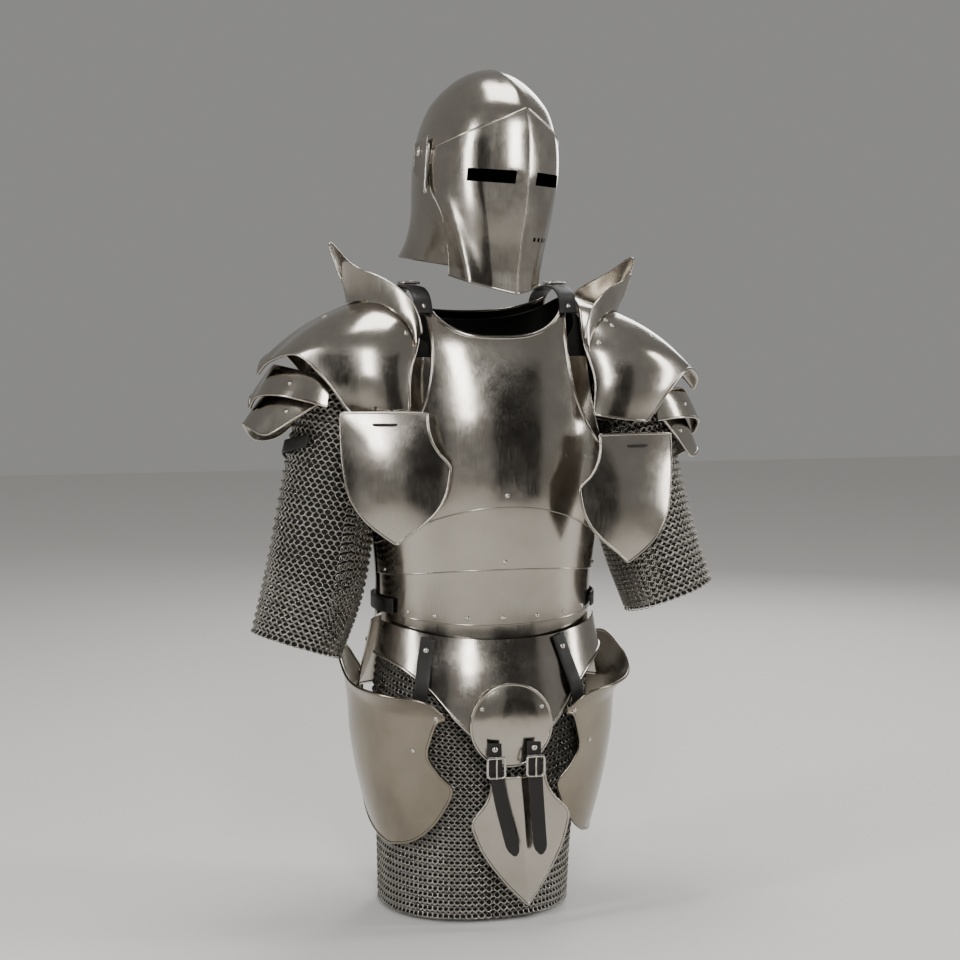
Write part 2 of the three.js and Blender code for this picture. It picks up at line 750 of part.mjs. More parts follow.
// Arm lames under the cap: bands about the arm with a point at the outside. turn 0 faces the front.
const LAME_ROWS = [
  { turn: 14, upper: -134, lower: -126 },
  { turn: 32, upper: -124, lower: -150 },
  { turn: 54, upper: -119, lower: -172 },
  { turn: 74, upper: -124, lower: -164 },
  { turn: 90, upper: -140, lower: -160 },
  { turn: 106, upper: -126, lower: -168 },
  { turn: 126, upper: -122, lower: -186 },
  { turn: 148, upper: -128, lower: -182 },
  { turn: 166, upper: -138, lower: -152 },
];
const LAMES = [
  { name: "upper", top: -82, innerO: 84, innerY: 84, outerO: 117, outerY: 98 },
  { name: "lower", top: -112, innerO: 86, innerY: 79, outerO: 126, outerY: 88 },
];
const lameEdge = { upper: column(LAME_ROWS, "turn", "upper"), lower: column(LAME_ROWS, "turn", "lower") };
const PAULDRON_HANG = {
  right: { x: 0, z: -6, droop: 0, lamesDroop: 0 },
  left: { x: 5, z: -14, droop: 5.5, lamesDroop: 7 },
};
for (const { name, sign } of SIDES) {
  const hang = PAULDRON_HANG[name];
  const group = new THREE.Group();
  group.position.set(sign * (110 + hang.x), 0, -50 + hang.z);
  group.rotation.y = sign * radians(hang.droop);
  suit.add(group);
  const inside = point(sign * (ARM_HEART.out - 110), 0, ARM_HEART.z + 50);
  const local = (p) => p.setX(p.x - sign * 110).setZ(p.z + 50);
  add(
    `pauldron_${name}`,
    plate({
      form: (s, t) => local(capPoint(sign, s, 2 * t - 1)),
      across: 7,
      along: 20,
      away: inside,
    }),
    steel,
    group,
  );
  add(
    `haute_piece_${name}`,
    plate({
      form: (s, t) => {
        const base = capPoint(sign, fin.across(s), fin.round(s));
        const up = base.clone().sub(point(sign * ARM_HEART.out, 0, ARM_HEART.z)).normalize();
        base.addScaledVector(up, 3.4);
        const lean = sign * fin.lean(s) * t ** 1.5;
        return local(base.add(point(lean, 0, fin.rise(s) * t)));
      },
      across: 22,
      along: 2,
      away: point(0, 0, 20),
    }),
    steel,
    group,
  );
  const arm = new THREE.Group();
  arm.position.set(sign * 80, 0, -40);
  arm.rotation.y = sign * radians(hang.lamesDroop);
  group.add(arm);
  const ARM_MIDDLE = 206;
  for (const lame of LAMES) {
    add(
      `arm_lame_${lame.name}_${name}`,
      plate({
        form: (s, t) => {
          const turn = lerp(14, 166, s);
          const reachO = lerp(lame.innerO, lame.outerO, t ** 0.8);
          const reachY = lerp(lame.innerY, lame.outerY, t ** 0.8);
          const out = ARM_MIDDLE + reachO * Math.sin(radians(turn)) - 190;
          const top = lame.top - 26 * (1 - Math.sin(radians(turn)) ** 0.7);
          const edge = lameEdge[lame.name](turn);
          const z = lerp(Math.max(top, edge + 10), edge, t);
          return point(sign * out, -reachY * Math.cos(radians(turn)), z + 90);
        },
        across: 12,
        along: 3,
        away: point(0, 0, -70),
      }),
      steel,
      arm,
    );
  }
}

// ---- besagews ------------------------------------------------------------------------------------------
// Shields over the armpits: outline from the top edge to the tip, out towards the arm and in to the chest.
const SHIELD = [
  { drop: 0, arm: 57, chest: 56 },
  { drop: 20, arm: 57, chest: 57 },
  { drop: 38, arm: 56.5, chest: 62 },
  { drop: 54, arm: 55.5, chest: 72 },
  { drop: 69, arm: 54, chest: 86 },
  { drop: 88, arm: 51, chest: 85 },
  { drop: 108, arm: 46, chest: 80 },
  { drop: 128, arm: 35, chest: 68 },
  { drop: 146, arm: 19, chest: 49 },
  { drop: 160, arm: 1, chest: 30 },
  { drop: 171, arm: -15.5, chest: 17 },
];
const SHIELD_HANG = {
  right: { x: -166, y: -139, z: -147, face: -4, tilt: 4, roll: 1 },
  left: { x: 176, y: -140, z: -180, face: 14, tilt: 4, roll: -0.5 },
};
const shieldArm = column(SHIELD, "drop", "arm");
const shieldChest = column(SHIELD, "drop", "chest");
const LACE = { halfSpan: 15, drop: 15, hole: 3.1, radius: 1.3 };
for (const { name, sign } of SIDES) {
  const hang = SHIELD_HANG[name];
  const group = new THREE.Group();
  group.position.set(hang.x, hang.y, hang.z);
  group.rotation.set(radians(-hang.tilt), radians(hang.roll), radians(hang.face));
  suit.add(group);
  const form = (s, t) => {
    const drop = 171 * t;
    const x = lerp(shieldArm(drop), -shieldChest(drop), s);
    const across = (x + 12) / 74;
    const down = (drop - 82) / 96;
    return point(sign * x, -13 * Math.max(1 - across ** 2, 0) * Math.max(1 - down ** 2, 0), -drop);
  };
  const hole = (x) =>
    new THREE.CylinderGeometry(LACE.hole, LACE.hole, 40, 8).translate(x, -6, -LACE.drop);
  add(
    `besagew_${name}`,
    cutAway(
      plate({ form, across: 8, along: 12, away: point(0, 300, -80) }),
      hole(-LACE.halfSpan),
      hole(LACE.halfSpan),
    ),
    steel,
    group,
  );
  // The lace comes down behind the shield, through one hole, across its face and back through the other.
  const h = LACE.halfSpan;
  const face = form(0.5, LACE.drop / 171).y - SHEET - LACE.radius - 0.9;
  const route = [
    [-h + 5, 9, 8],
    [-h + 2, 7, -4],
    [-h, 4, -LACE.drop + 0.6],
    [-h, face + 2.6, -LACE.drop],
    [-h + 2.6, face, -LACE.drop],
    [0, face - 0.6, -LACE.drop],
    [h - 2.6, face, -LACE.drop],
    [h, face + 2.6, -LACE.drop],
    [h, 4, -LACE.drop + 0.6],
    [h - 2, 7, -4],
    [h - 5, 9, 8],
  ];
  const spine = new THREE.CatmullRomCurve3(route.map((at) => point(...at)), false, "centripetal");
  const round = new THREE.Shape();
  round.absarc(0, 0, LACE.radius, 0, 2 * Math.PI);
  add(
    `lace_${name}`,
    new THREE.ExtrudeGeometry(round, { steps: 24, curveSegments: 3, extrudePath: spine }),
    leather,
    group,
  );
}

// ---- mail shirt ----------------------------------------------------------------------------------------
// Tube through the middles and radii of a sleeve's sections.
function sleeveForm(rows, grow) {
  const spine = new THREE.CatmullRomCurve3(rows.map((row) => point(row.x, row.y, row.z)), false, "centripetal");
  rows.forEach((row, i) => {
    row.step = i / (rows.length - 1);
  });
  const radius = column(rows, "step", "radius");
  return (s, t) => {
    const forward = spine.getTangent(t);
    const fore = point(0, -1, 0).addScaledVector(forward, forward.y).normalize();
    const side = forward.clone().cross(fore).normalize();
    const angle = 2 * Math.PI * s;
    const p = spine
      .getPoint(t)
      .addScaledVector(fore, Math.cos(angle) * (radius(t) + grow))
      .addScaledVector(side, Math.sin(angle) * (radius(t) + grow));
    const clear = lerp(90, torsoSide(p.z) + 4 * LAP + SHEET, smoothstep(-p.z, 110, 172));
    return p.setX(Math.sign(p.x) * Math.max(Math.abs(p.x), clear));
  };
}
// Where along a sleeve the line at one place round it leaves the shirt's body.
const shirtSide = column(SHIRT, "z", "side");
const shirtFront = column(SHIRT, "z", "front");
const shirtBack = column(SHIRT, "z", "back");
const SEAM = MAIL + 3;
function leavesBody(form, s) {
  const within = (p) => {
    const reach = (p.y < 0 ? shirtFront(p.z) : shirtBack(p.z)) + SEAM;
    const side = shirtSide(p.z) + SEAM;
    return (Math.abs(p.x) / side) ** SQUARENESS + (Math.abs(p.y) / reach) ** SQUARENESS < 1;
  };
  let [low, high] = [0, 0.6];
  if (!within(form(s, low))) return 0;
  for (let i = 0; i < 24; i++) {
    const middle = (low + high) / 2;
    if (within(form(s, middle))) low = middle;
    else high = middle;
  }
  return high;
}

const HEM_Z = -838;
// Top edge of the shirt's body: low in front and high beside the neck.
const shirtTop = (angle) => {
  const front = Math.max(Math.cos(radians(angle)), 0);
  const back = Math.max(-Math.cos(radians(angle)), 0);
  return 2 - 82 * front ** 1.5 - 30 * back ** 2;
};
const shirtForm = (grow) => (s, t) => {
  const angle = 360 * s;
  const z = lerp(shirtTop(angle), HEM_Z, t);
  const p = shirt(angle, z);
  const out = point(p.x, p.y, 0).normalize();
  return p.addScaledVector(out, grow);
};
const shirtBody = plate({
  form: shirtForm(0),
  across: 28,
  along: 13,
  thick: MAIL,
  away: point(0, 0, -400),
  wrapped: true,
});
const armholes = SIDES.map(({ name, sign }) => {
  const hole = new THREE.CylinderGeometry(52, 60, 140, 16);
  return hole.rotateZ(sign * radians(-62)).translate(sign * 158, 0, name === "right" ? -82 : -86);
});
add("mail_body", cutAway(shirtBody, ...armholes), mail);
for (const { name } of SIDES) {
  const tube = sleeveForm(SLEEVES[name], 0);
  add(
    `mail_sleeve_${name}`,
    plate({
      form: (s, t) => tube(s, lerp(leavesBody(tube, s), 1, t)),
      across: 16,
      along: 9,
      thick: MAIL,
      away: (s, t) => {
        const along = lerp(leavesBody(tube, s), 1, t);
        return tube(s, along).lerp(tube(s + 0.5, along), 0.5);
      },
      wrapped: true,
    }),
    mail,
  );
}

// A leather strap hangs from each lower lame and goes round behind the arm, over the sleeve.
const ARM_STRAP = [
  { round: 0.12, along: 0.44, off: 9 },
  { round: 0.2, along: 0.46, off: 7.5 },
  { round: 0.28, along: 0.47, off: 6.5 },
  { round: 0.38, along: 0.49, off: 6 },
  { round: 0.5, along: 0.5, off: 6 },
];
for (const { name, sign } of SIDES) {
  const line = ARM_STRAP.map(({ round, along, off }) => {
    const p = sleeveForm(SLEEVES[name], MAIL + off)(sign < 0 ? round : 1 - round, along);
    return { at: p.toArray(), wide: [sign * 0.25, 0, -1] };
  });
  const heart = sleeveForm(SLEEVES[name], -40)(0, 0.44);
  add(`arm_strap_${name}`, strap(line, 18, LEATHER, 10, heart), leather);
}

// ---- helmet --------------------------------------------------------------------------------------------
const helmet = new THREE.Group();
helmet.position.set(HELMET.x, HELMET.y, HELMET.z);
helmet.rotation.order = "ZYX";
helmet.rotation.set(radians(HELMET.pitch), radians(HELMET.roll), radians(HELMET.yaw));
suit.add(helmet);

const skull = Object.fromEntries(
  ["face", "nape", "front", "back"].map((key) => [key, column(SKULL, "z", key)]),
);
// Skull point: angle 0 faces the front. The width changes from the face's to the nape's past the temples.
function skullPoint(angle, z, grow = 0) {
  const turn = Math.abs(((angle + 540) % 360) - 180);
  const half = lerp(skull.face(z), skull.nape(z), smoothstep(turn, 70, 130));
  const s = Math.sin(radians(angle));
  const c = Math.cos(radians(angle));
  const reach = c > 0 ? skull.front(z) : skull.back(z);
  return point((half + grow) * s, -(reach + grow) * c, z);
}
const APEX_Z = 140;
const skullFoot = (angle) => -124 - 6 * Math.cos(radians(angle));
// Rows crowd towards the crown, where the bowl curves most.
const skullForm = (s, t) => {
  const angle = 360 * s;
  const z = APEX_Z - (APEX_Z - skullFoot(angle)) * (0.25 * t + 0.75 * t ** 1.7);
  return skullPoint(angle, Math.min(z, APEX_Z));
};
const FACE = { half: 62, brow: 26, foot: -220, deep: -60 };
const faceOpening = new THREE.BoxGeometry(2 * FACE.half, 140, FACE.brow - FACE.foot);
faceOpening.translate(0, FACE.deep - 70, (FACE.brow + FACE.foot) / 2);
add(
  "helmet_skull",
  cutAway(
    plate({
      form: skullForm,
      across: 28,
      along: 12,
      away: point(0, 0, -20),
      wrapped: true,
    }),
    faceOpening,
  ),
  steel,
  helmet,
);

// Visor: its top edge falls from the peak to the hinges, its rear edge runs down and forward to the chin.
const VISOR_EDGE = [
  { z: 26, angle: 79 },
  { z: -26, angle: 79 },
  { z: -56, angle: 70 },
  { z: -96, angle: 66 },
  { z: -142, angle: 64 },
];
const VISOR_PEAK = 84;
const visorRear = column(VISOR_EDGE, "z", "angle");
const visorTop = (side) => lerp(VISOR_PEAK, 26, Math.abs(side) ** 1.05);
const visorFoot = (side) => lerp(-158, -140, Math.abs(side) ** 1.2);
const visorForm = (s, t) => {
  const side = 2 * s - 1;
  const rearZ = lerp(26, -140, t);
  const angle = side * visorRear(rearZ);
  const z = lerp(visorTop(side), visorFoot(side), t);
  const p = skullPoint(angle, z, VISOR_GAP);
  const keel = RIDGE * Math.max(1 - Math.abs(angle) / 26, 0);
  const chin = 5 * smoothstep(-z, -30, 60) * Math.cos(radians(angle)) ** 2;
  return p.setY(p.y - keel - chin);
};
const visor = plate({
  form: visorForm,
  across: 16,
  along: 12,
  away: point(0, 40, -20),
});
const SLOT = { inner: 15, outer: 68, top: 2, bottom: -15 };
const slots = SIDES.map(({ sign }) => {
  const cut = new THREE.BoxGeometry(SLOT.outer - SLOT.inner, 80, SLOT.top - SLOT.bottom);
  return cut.translate((sign * (SLOT.inner + SLOT.outer)) / 2, -110, (SLOT.top + SLOT.bottom) / 2);
});
const BREATHS = { first: 26, pitch: 9, count: 4, radius: 2.6, z: -86 };
const breaths = Array.from({ length: BREATHS.count }, (_, i) =>
  new THREE.CylinderGeometry(BREATHS.radius, BREATHS.radius, 80, 8).translate(
    BREATHS.first + BREATHS.pitch * i,
    -100,
    BREATHS.z,
  ),
);
add("visor", cutAway(visor, ...slots, ...breaths), steel, helmet);

// Flat side arms carry the visor: each turns on a rivet at the temple and ends in a pinned hinge.
const ARM = { x: 93.2, front: -13, back: 24, top: 42, foot: -24, rearShare: 0.55 };
for (const { name, sign } of SIDES) {
  add(
    `visor_arm_${name}`,
    plate({
      form: (s, t) => {
        const spread = lerp(1, ARM.rearShare, s);
        const z = VISOR_PIVOT.z + lerp(ARM.top - VISOR_PIVOT.z, ARM.foot - VISOR_PIVOT.z, t) * spread;
        return point(sign * ARM.x, lerp(ARM.front, ARM.back, s), z);
      },
      across: 4,
      along: 4,
      away: point(0, 0, 0),
    }),
    steel,
    helmet,
  );
  const hinge = skullPoint(sign * 80.3, -6, VISOR_GAP + 4.4);
  const pin = new THREE.CylinderGeometry(2.2, 2.2, 58, 10).rotateX(Math.PI / 2);
  add(`hinge_pin_${name}`, pin.translate(hinge.x + sign * 1.2, hinge.y, -1), bright, helmet);
  const dome = new THREE.LatheGeometry(
    Array.from({ length: 4 }, (_, i) => {
      const turn = (i / 3) * (Math.PI / 2);
      return new THREE.Vector2(6.5 * Math.sin(turn), 3.4 * Math.cos(turn));
    })
      .concat(new THREE.Vector2(0, 0))
      .reverse(),
    10,
  );
  dome.rotateZ(-sign * (Math.PI / 2));
  add(
    `pivot_rivet_${name}`,
    dome.translate(sign * (ARM.x + SHEET + 0.4), VISOR_PIVOT.y, VISOR_PIVOT.z),
    bright,
    helmet,
  );
}

export default suit;
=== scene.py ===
"""Suit of plate armour over a mail shirt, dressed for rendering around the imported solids."""

import logging
import math
from dataclasses import dataclass, field
from enum import Enum
from typing import Callable, Optional, Sequence

import bpy
import numpy as np
from mathutils import Euler, Matrix, Vector


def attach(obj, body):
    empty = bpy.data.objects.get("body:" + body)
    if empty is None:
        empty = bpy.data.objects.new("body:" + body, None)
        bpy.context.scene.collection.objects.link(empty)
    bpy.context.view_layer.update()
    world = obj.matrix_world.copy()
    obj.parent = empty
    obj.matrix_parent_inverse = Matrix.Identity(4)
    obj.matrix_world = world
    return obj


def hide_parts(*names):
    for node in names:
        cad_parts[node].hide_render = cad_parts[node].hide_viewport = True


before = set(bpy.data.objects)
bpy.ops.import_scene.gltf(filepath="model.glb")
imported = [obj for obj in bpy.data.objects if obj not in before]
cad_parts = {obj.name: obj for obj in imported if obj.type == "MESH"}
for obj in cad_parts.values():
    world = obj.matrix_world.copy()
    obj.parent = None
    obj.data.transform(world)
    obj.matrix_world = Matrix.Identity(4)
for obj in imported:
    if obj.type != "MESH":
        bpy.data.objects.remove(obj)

LOG = logging.getLogger("armour")
MM = 0.001
SHEET = 1.5  # steel plate, mm
LEATHER = 2.6
MAIL = 2.4
LAP = 2.6  # step from one lapped plate to the next
SQUARENESS = 2.25  # exponent of the body sections, 2 is an ellipse
SIDES = (("right", -1), ("left", 1))

Array = np.ndarray
Form = Callable[[Array, Array], Array]


class Body(Enum):
    """The rigid bodies that a piece can ride on."""

    SUIT = "suit"
    VISOR = "visor"


class Slot(Enum):
    """The record's material slots."""

    STEEL = "steel"
    FITTINGS = "fittings"
    LEATHER = "leather"
    MAIL = "mail"

    @property
    def look(self) -> str:
        """The word that ends the name of a piece in this slot."""
        return {"steel": "plate", "fittings": "fitting", "leather": "strap", "mail": "backing_and_shade"}[self.value]


# ---- tables of sizes ------------------------------------------------------------------------------


@dataclass(frozen=True)
class Table:
    """Rows of sizes with named columns.

    Args:
        names: The columns' names, parted by spaces.
        rows: The rows, in any order.
    """

    names: str
    rows: tuple

    def column(self, by: str, key: str) -> Callable[[Array], Array]:
        """Reads one column at any value of another, with a smooth cubic between the rows.

        Args:
            by: The column that the value is looked up in.
            key: The column that is read.

        Returns:
            A function of an array of values.
        """
        names = self.names.split()
        i, j = names.index(by), names.index(key)
        order = sorted(self.rows, key=lambda row: row[i])
        x = np.array([row[i] for row in order], float)
        y = np.array([row[j] for row in order], float)
        before, after = np.maximum(np.arange(len(x)) - 1, 0), np.minimum(np.arange(len(x)) + 1, len(x) - 1)
        slope = (y[after] - y[before]) / (x[after] - x[before])

        def read(value: Array) -> Array:
            v = np.clip(np.asarray(value, float), x[0], x[-1])
            k = np.clip(np.searchsorted(x, v) - 1, 0, len(x) - 2)
            span = x[k + 1] - x[k]
            t = (v - x[k]) / span
            return (
                (2 * t**3 - 3 * t**2 + 1) * y[k]
                + (t**3 - 2 * t**2 + t) * span * slope[k]
                + (3 * t**2 - 2 * t**3) * y[k + 1]
                + (t**3 - t**2) * span * slope[k + 1]
            )

        return read


def mix(a: Array, b: Array, t: Array) -> Array:
    """The value that share t of the way from a to b."""
    return a + (b - a) * t


def smooth(value: Array, low: float, high: float) -> Array:
    """0 below low, 1 above high and an easy step between."""
    t = np.clip((np.asarray(value, float) - low) / (high - low), 0, 1)
    return t * t * (3 - 2 * t)


def points(x: Array, y: Array, z: Array) -> Array:
    """Points of an array from their coordinates."""
    return np.stack(np.broadcast_arrays(*(np.asarray(v, float) for v in (x, y, z))), -1)


def power(value: Array, exponent: float) -> Array:
    """A power that keeps its sign."""
    return np.sign(value) * np.abs(value) ** exponent


@dataclass(frozen=True)
class Section:
    """A body's sections by height: half width, and reach to the front and back."""

    table: Table

    def size(self, key: str, z: Array) -> Array:
        """One size of the section at height z."""
        return self.table.column("z", key)(z)

    def at(self, angle: Array, z: Array) -> Array:
        """Points at an angle from the front, 90 the wearer's left, and a height.

        Args:
            angle: Degrees from the front.
            z: Height in mm.

        Returns:
            The points in mm.
        """
        s, c = np.sin(np.radians(angle)), np.cos(np.radians(angle))
        reach = np.where(c > 0, self.size("front", z), self.size("back", z))
        lean = self.size("lean", z) if "lean" in self.table.names else 0
        return points(
            lean + self.size("side", z) * power(s, 2 / SQUARENESS),
            -reach * power(c, 2 / SQUARENESS),
            np.asarray(z, float) + 0 * s,
        )

    def angle_out(self, x: Array, z: Array) -> Array:
        """The angle at which the section stands x mm out."""
        share = np.minimum(np.abs(x) / self.size("side", z), 1) ** (SQUARENESS / 2)
        return np.degrees(np.arcsin(share))


TORSO = Section(
    Table(
        "z side front back",
        (
            (30, 138, 34, 52),
            (0, 158, 62, 82),
            (-30, 166, 84, 97),
            (-60, 168, 100, 106),
            (-100, 166, 114, 111),
            (-150, 163, 125, 112),
            (-200, 161, 130, 108),
            (-260, 158, 130, 103),
            (-320, 152, 124, 97),
            (-380, 147, 117, 92),
            (-440, 148, 114, 92),
            (-480, 152, 118, 96),
        ),
    )
)
HIPS = Section(
    Table(
        "z side front back",
        (
            (-430, 151, 118, 96),
            (-460, 156, 125, 103),
            (-500, 165, 137, 114),
            (-550, 174, 148, 124),
            (-610, 180, 156, 128),
        ),
    )
)
THIGH = Section(
    Table(
        "z side front back",
        (
            (-430, 203, 176, 150),
            (-480, 198, 170, 146),
            (-530, 192, 163, 140),
            (-552, 189, 160, 137),
            (-600, 186, 157, 132),
            (-660, 176, 150, 124),
            (-720, 161, 141, 116),
            (-760, 148, 134, 112),
        ),
    )
)
SHIRT = Section(
    Table(
        "z side front back lean",
        (
            (8, 104, 44, 60, 0),
            (-30, 140, 68, 82, 0),
            (-60, 151, 86, 93, 0),
            (-100, 154, 101, 98, 0),
            (-150, 151, 112, 99, 0),
            (-200, 149, 117, 95, 0),
            (-260, 146, 117, 90, 0),
            (-320, 140, 111, 84, 0),
            (-380, 135, 104, 80, 0),
            (-440, 136, 102, 80, 0),
            (-500, 143, 108, 90, -2),
            (-560, 146, 113, 97, -5),
            (-640, 143, 116, 100, -9),
            (-740, 132, 117, 101, -13),
            (-838, 128, 116, 100, -15),
        ),
    )
)
ARMPIT_Z = -207
MIDRIFF = np.array([0.0, 0.0, -250.0])


# ---- making meshes --------------------------------------------------------------------------------


def deselect() -> None:
    """Leaves nothing selected, so that an operator acts on new pieces alone."""
    if bpy.context.object and bpy.context.object.mode != "OBJECT":
        bpy.ops.object.mode_set(mode="OBJECT")
    bpy.ops.object.select_all(action="DESELECT")


def select(*objects: bpy.types.Object) -> None:
    """Selects these objects alone, the first active."""
    deselect()
    for item in objects:
        item.select_set(True)
    bpy.context.view_layer.objects.active = objects[0]


def coordinates(mesh: bpy.types.Mesh) -> Array:
    """A mesh's vertices as an array."""
    flat = np.empty(len(mesh.vertices) * 3)
    mesh.vertices.foreach_get("co", flat)
    return flat.reshape(-1, 3)


def move_to(mesh: bpy.types.Mesh, where: Array) -> None:
    """Puts a mesh's vertices at these points in metres."""
    mesh.vertices.foreach_set("co", np.ascontiguousarray(where, float).ravel())
    mesh.update()


def modify(item: bpy.types.Object, kind: str, **settings: object) -> None:
    """Adds a modifier with its settings and applies it.

    Args:
        item: The object.
        kind: The modifier's type.
        settings: Its settings by name.
    """
    select(item)
    bpy.ops.object.modifier_add(type=kind)
    modifier = item.modifiers[-1]
    for key, value in settings.items():
        setattr(modifier, key, value)
    bpy.ops.object.modifier_apply(modifier=modifier.name)


def in_edit_mode(item: bpy.types.Object, *steps: Callable[[], object]) -> None:
    """Runs edit-mode operators on all of an object's mesh."""
    select(item)
    bpy.ops.object.mode_set(mode="EDIT")
    bpy.ops.mesh.select_all(action="SELECT")
    for step in steps:
        step()
    bpy.ops.object.mode_set(mode="OBJECT")


def soften(item: bpy.types.Object, degrees: float = 32) -> None:
    """Shades an object smooth, with edges sharper than the angle kept."""
    select(item)
    bpy.ops.object.shade_smooth_by_angle(angle=math.radians(degrees))


def join(name: str, items: Sequence[bpy.types.Object]) -> bpy.types.Object:
    """Joins objects into one.

    Args:
        name: The joined object's name.
        items: The objects, the first kept.

    Returns:
        The joined object.
    """
    if len(items) > 1:
        select(*items)
        bpy.ops.object.join()
    items[0].name = name
    items[0].data.name = name
    return items[0]


def normals(form: Form, s: Array, t: Array, away: Array, wrapped: bool) -> Array:
    """Unit normals of a formed surface, on the side that faces away from a point.

    Args:
        form: The surface.
        s: Places across it, 0 to 1.
        t: Places along it, 0 to 1.
        away: The point, or one per place.
        wrapped: Whether the surface closes on itself across.

    Returns:
        The normals.
    """
    step = 1e-3
    low, high = (s - step, s + step) if wrapped else (np.maximum(s - step, 0), np.minimum(s + step, 1))
    side = form(high, t) - form(low, t)
    up = form(s, np.minimum(t + step, 1)) - form(s, np.maximum(t - step, 0))
    normal = np.cross(side, up)
    outward = form(s, t) - away
    length = np.linalg.norm(normal, axis=-1, keepdims=True)
    normal = np.where(length < 1e-9, outward, normal)
    normal = normal / np.maximum(np.linalg.norm(normal, axis=-1, keepdims=True), 1e-12)
    return np.where((normal * outward).sum(-1, keepdims=True) < 0, -normal, normal)


@dataclass
class Plate:
    """A sheet formed over a surface, with its outer face first and its wall inwards.

    Args:
        name: The piece's name.
        form: The surface of the inner face, in mm, over 0 to 1 across and along.
        across: Columns of the mesh.
        along: Rows of the mesh.
        away: A point that the outside faces away from.
        lift: How far the inner face stands off the surface.
        thick: The wall.
        wrapped: Whether it closes on itself across.
    """

    name: str
    form: Form
    across: int
    along: int
    away: object = field(default_factory=lambda: MIDRIFF)
    lift: float = 0.0
    thick: float = SHEET
    wrapped: bool = False

    def heart(self, s: Array, t: Array) -> Array:
        """The point that the outside faces away from at each place."""
        return self.away(s, t) if callable(self.away) else np.asarray(self.away, float)

    def face(self, s: Array, t: Array, off: float = 0.0) -> Array:
        """Points of the outer face, moved out by off mm."""
        s, t = np.broadcast_arrays(np.asarray(s, float), np.asarray(t, float))
        normal = normals(self.form, s, t, self.heart(s, t), self.wrapped)
        return self.form(s, t) + normal * (self.lift + self.thick + off)

    def normal(self, s: float, t: float) -> Array:
        """The outward normal at one place."""
        s, t = np.array([s], float), np.array([t], float)
        return normals(self.form, s, t, self.heart(s, t), self.wrapped)[0]

    def build(self) -> bpy.types.Object:
        """Forms the sheet from a flat grid and gives it its wall."""
        deselect()
        bpy.ops.mesh.primitive_grid_add(x_subdivisions=self.across, y_subdivisions=self.along, size=1)
        item = bpy.context.object
        item.name = self.name
        flat = coordinates(item.data)
        s, t = np.clip(flat[:, 0] + 0.5, 0, 1), np.clip(flat[:, 1] + 0.5, 0, 1)
        move_to(item.data, self.face(s, t) * MM)
        if self.wrapped:
            in_edit_mode(item, lambda: bpy.ops.mesh.remove_doubles(threshold=1e-6))
        middle = item.data.polygons[len(item.data.polygons) // 2]
        around = flat[list(middle.vertices)].mean(0) + 0.5 if not self.wrapped else None
        if around is None:
            shift = coordinates(item.data)[list(middle.vertices)].mean(0) / MM
            near = np.argmin(np.linalg.norm(self.face(s, t) - shift, axis=-1))
            around = flat[near] + 0.5
        if np.dot(middle.normal, self.normal(around[0], around[1])) < 0:
            in_edit_mode(item, bpy.ops.mesh.flip_normals)
        modify(item, "SOLIDIFY", thickness=self.thick * MM, offset=-1.0, use_even_offset=True)
        return item

    def edge(self, where: str, low: float = 0.0, high: float = 1.0, count: int = 60) -> Array:
        """A line along one of the sheet's edges, in the middle of its wall.

        Args:
            where: top, bottom, start or end, for t of 0 or 1 and s of 0 or 1.
            low: Where the line starts, 0 to 1.
            high: Where it ends.
            count: Its points.

        Returns:
            The points in mm.
        """
        run = np.linspace(low, high, count)
        fixed = np.zeros(count) if where in ("top", "start") else np.ones(count)
        s, t = (run, fixed) if where in ("top", "bottom") else (fixed, run)
        return self.face(s, t, -self.thick / 2)

    def rim(self, count: int = 50) -> Array:
        """A closed line round the sheet's four edges."""
        parts = [self.edge("top", 0, 1, count), self.edge("end", 0, 1, count)]
        parts += [self.edge("bottom", 1, 0, count), self.edge("start", 1, 0, count)]
        return np.concatenate([part[:-1] for part in parts])


def even(line: Array, step: float, closed: bool) -> Array:
    """A line's points set at even steps, so that a tube along it stays clean.

    Args:
        line: Points in mm.
        step: The distance between the new points.
        closed: Whether the line returns to its start.

    Returns:
        The new points.
    """
    if closed:
        line = np.vstack([line, line[:1]])
    run = np.concatenate([[0], np.cumsum(np.linalg.norm(np.diff(line, axis=0), axis=1))])
    keep = np.concatenate([[True], np.diff(run) > 1e-6])
    line, run = line[keep], run[keep]
    places = np.linspace(0, run[-1], max(int(run[-1] / step), 4) + 1)
    made = np.stack([np.interp(places, run, line[:, k]) for k in range(3)], -1)
    return made[:-1] if closed else made


def tube(
    name: str, line: Array, radius: float, closed: bool = False, step: float = 7.0, sides: int = 2
) -> bpy.types.Object:
    """A round bar along a line, such as a rolled edge.

    Args:
        name: The piece's name.
        line: Points in mm.
        radius: The bar's radius in mm.
        closed: Whether it returns to its start.
        step: Distance between its rings in mm.
        sides: Fineness of its section.

    Returns:
        The mesh object.
    """
    where = even(np.asarray(line, float), step, closed) * MM
    curve = bpy.data.curves.new(name, "CURVE")
    curve.dimensions = "3D"
    curve.bevel_depth = radius * MM
    curve.bevel_resolution = sides
    curve.use_fill_caps = not closed
    spline = curve.splines.new("POLY")
    spline.points.add(len(where) - 1)
    spline.points.foreach_set("co", np.hstack([where, np.ones((len(where), 1))]).ravel())
    spline.use_cyclic_u = closed
    item = bpy.data.objects.new(name, curve)
    bpy.context.scene.collection.objects.link(item)
    select(item)
    bpy.ops.object.convert(target="MESH")
    item = bpy.context.object
    in_edit_mode(
        item,
        lambda: bpy.ops.mesh.remove_doubles(threshold=1e-6),
        lambda: bpy.ops.mesh.normals_make_consistent(inside=False),
    )
    return item


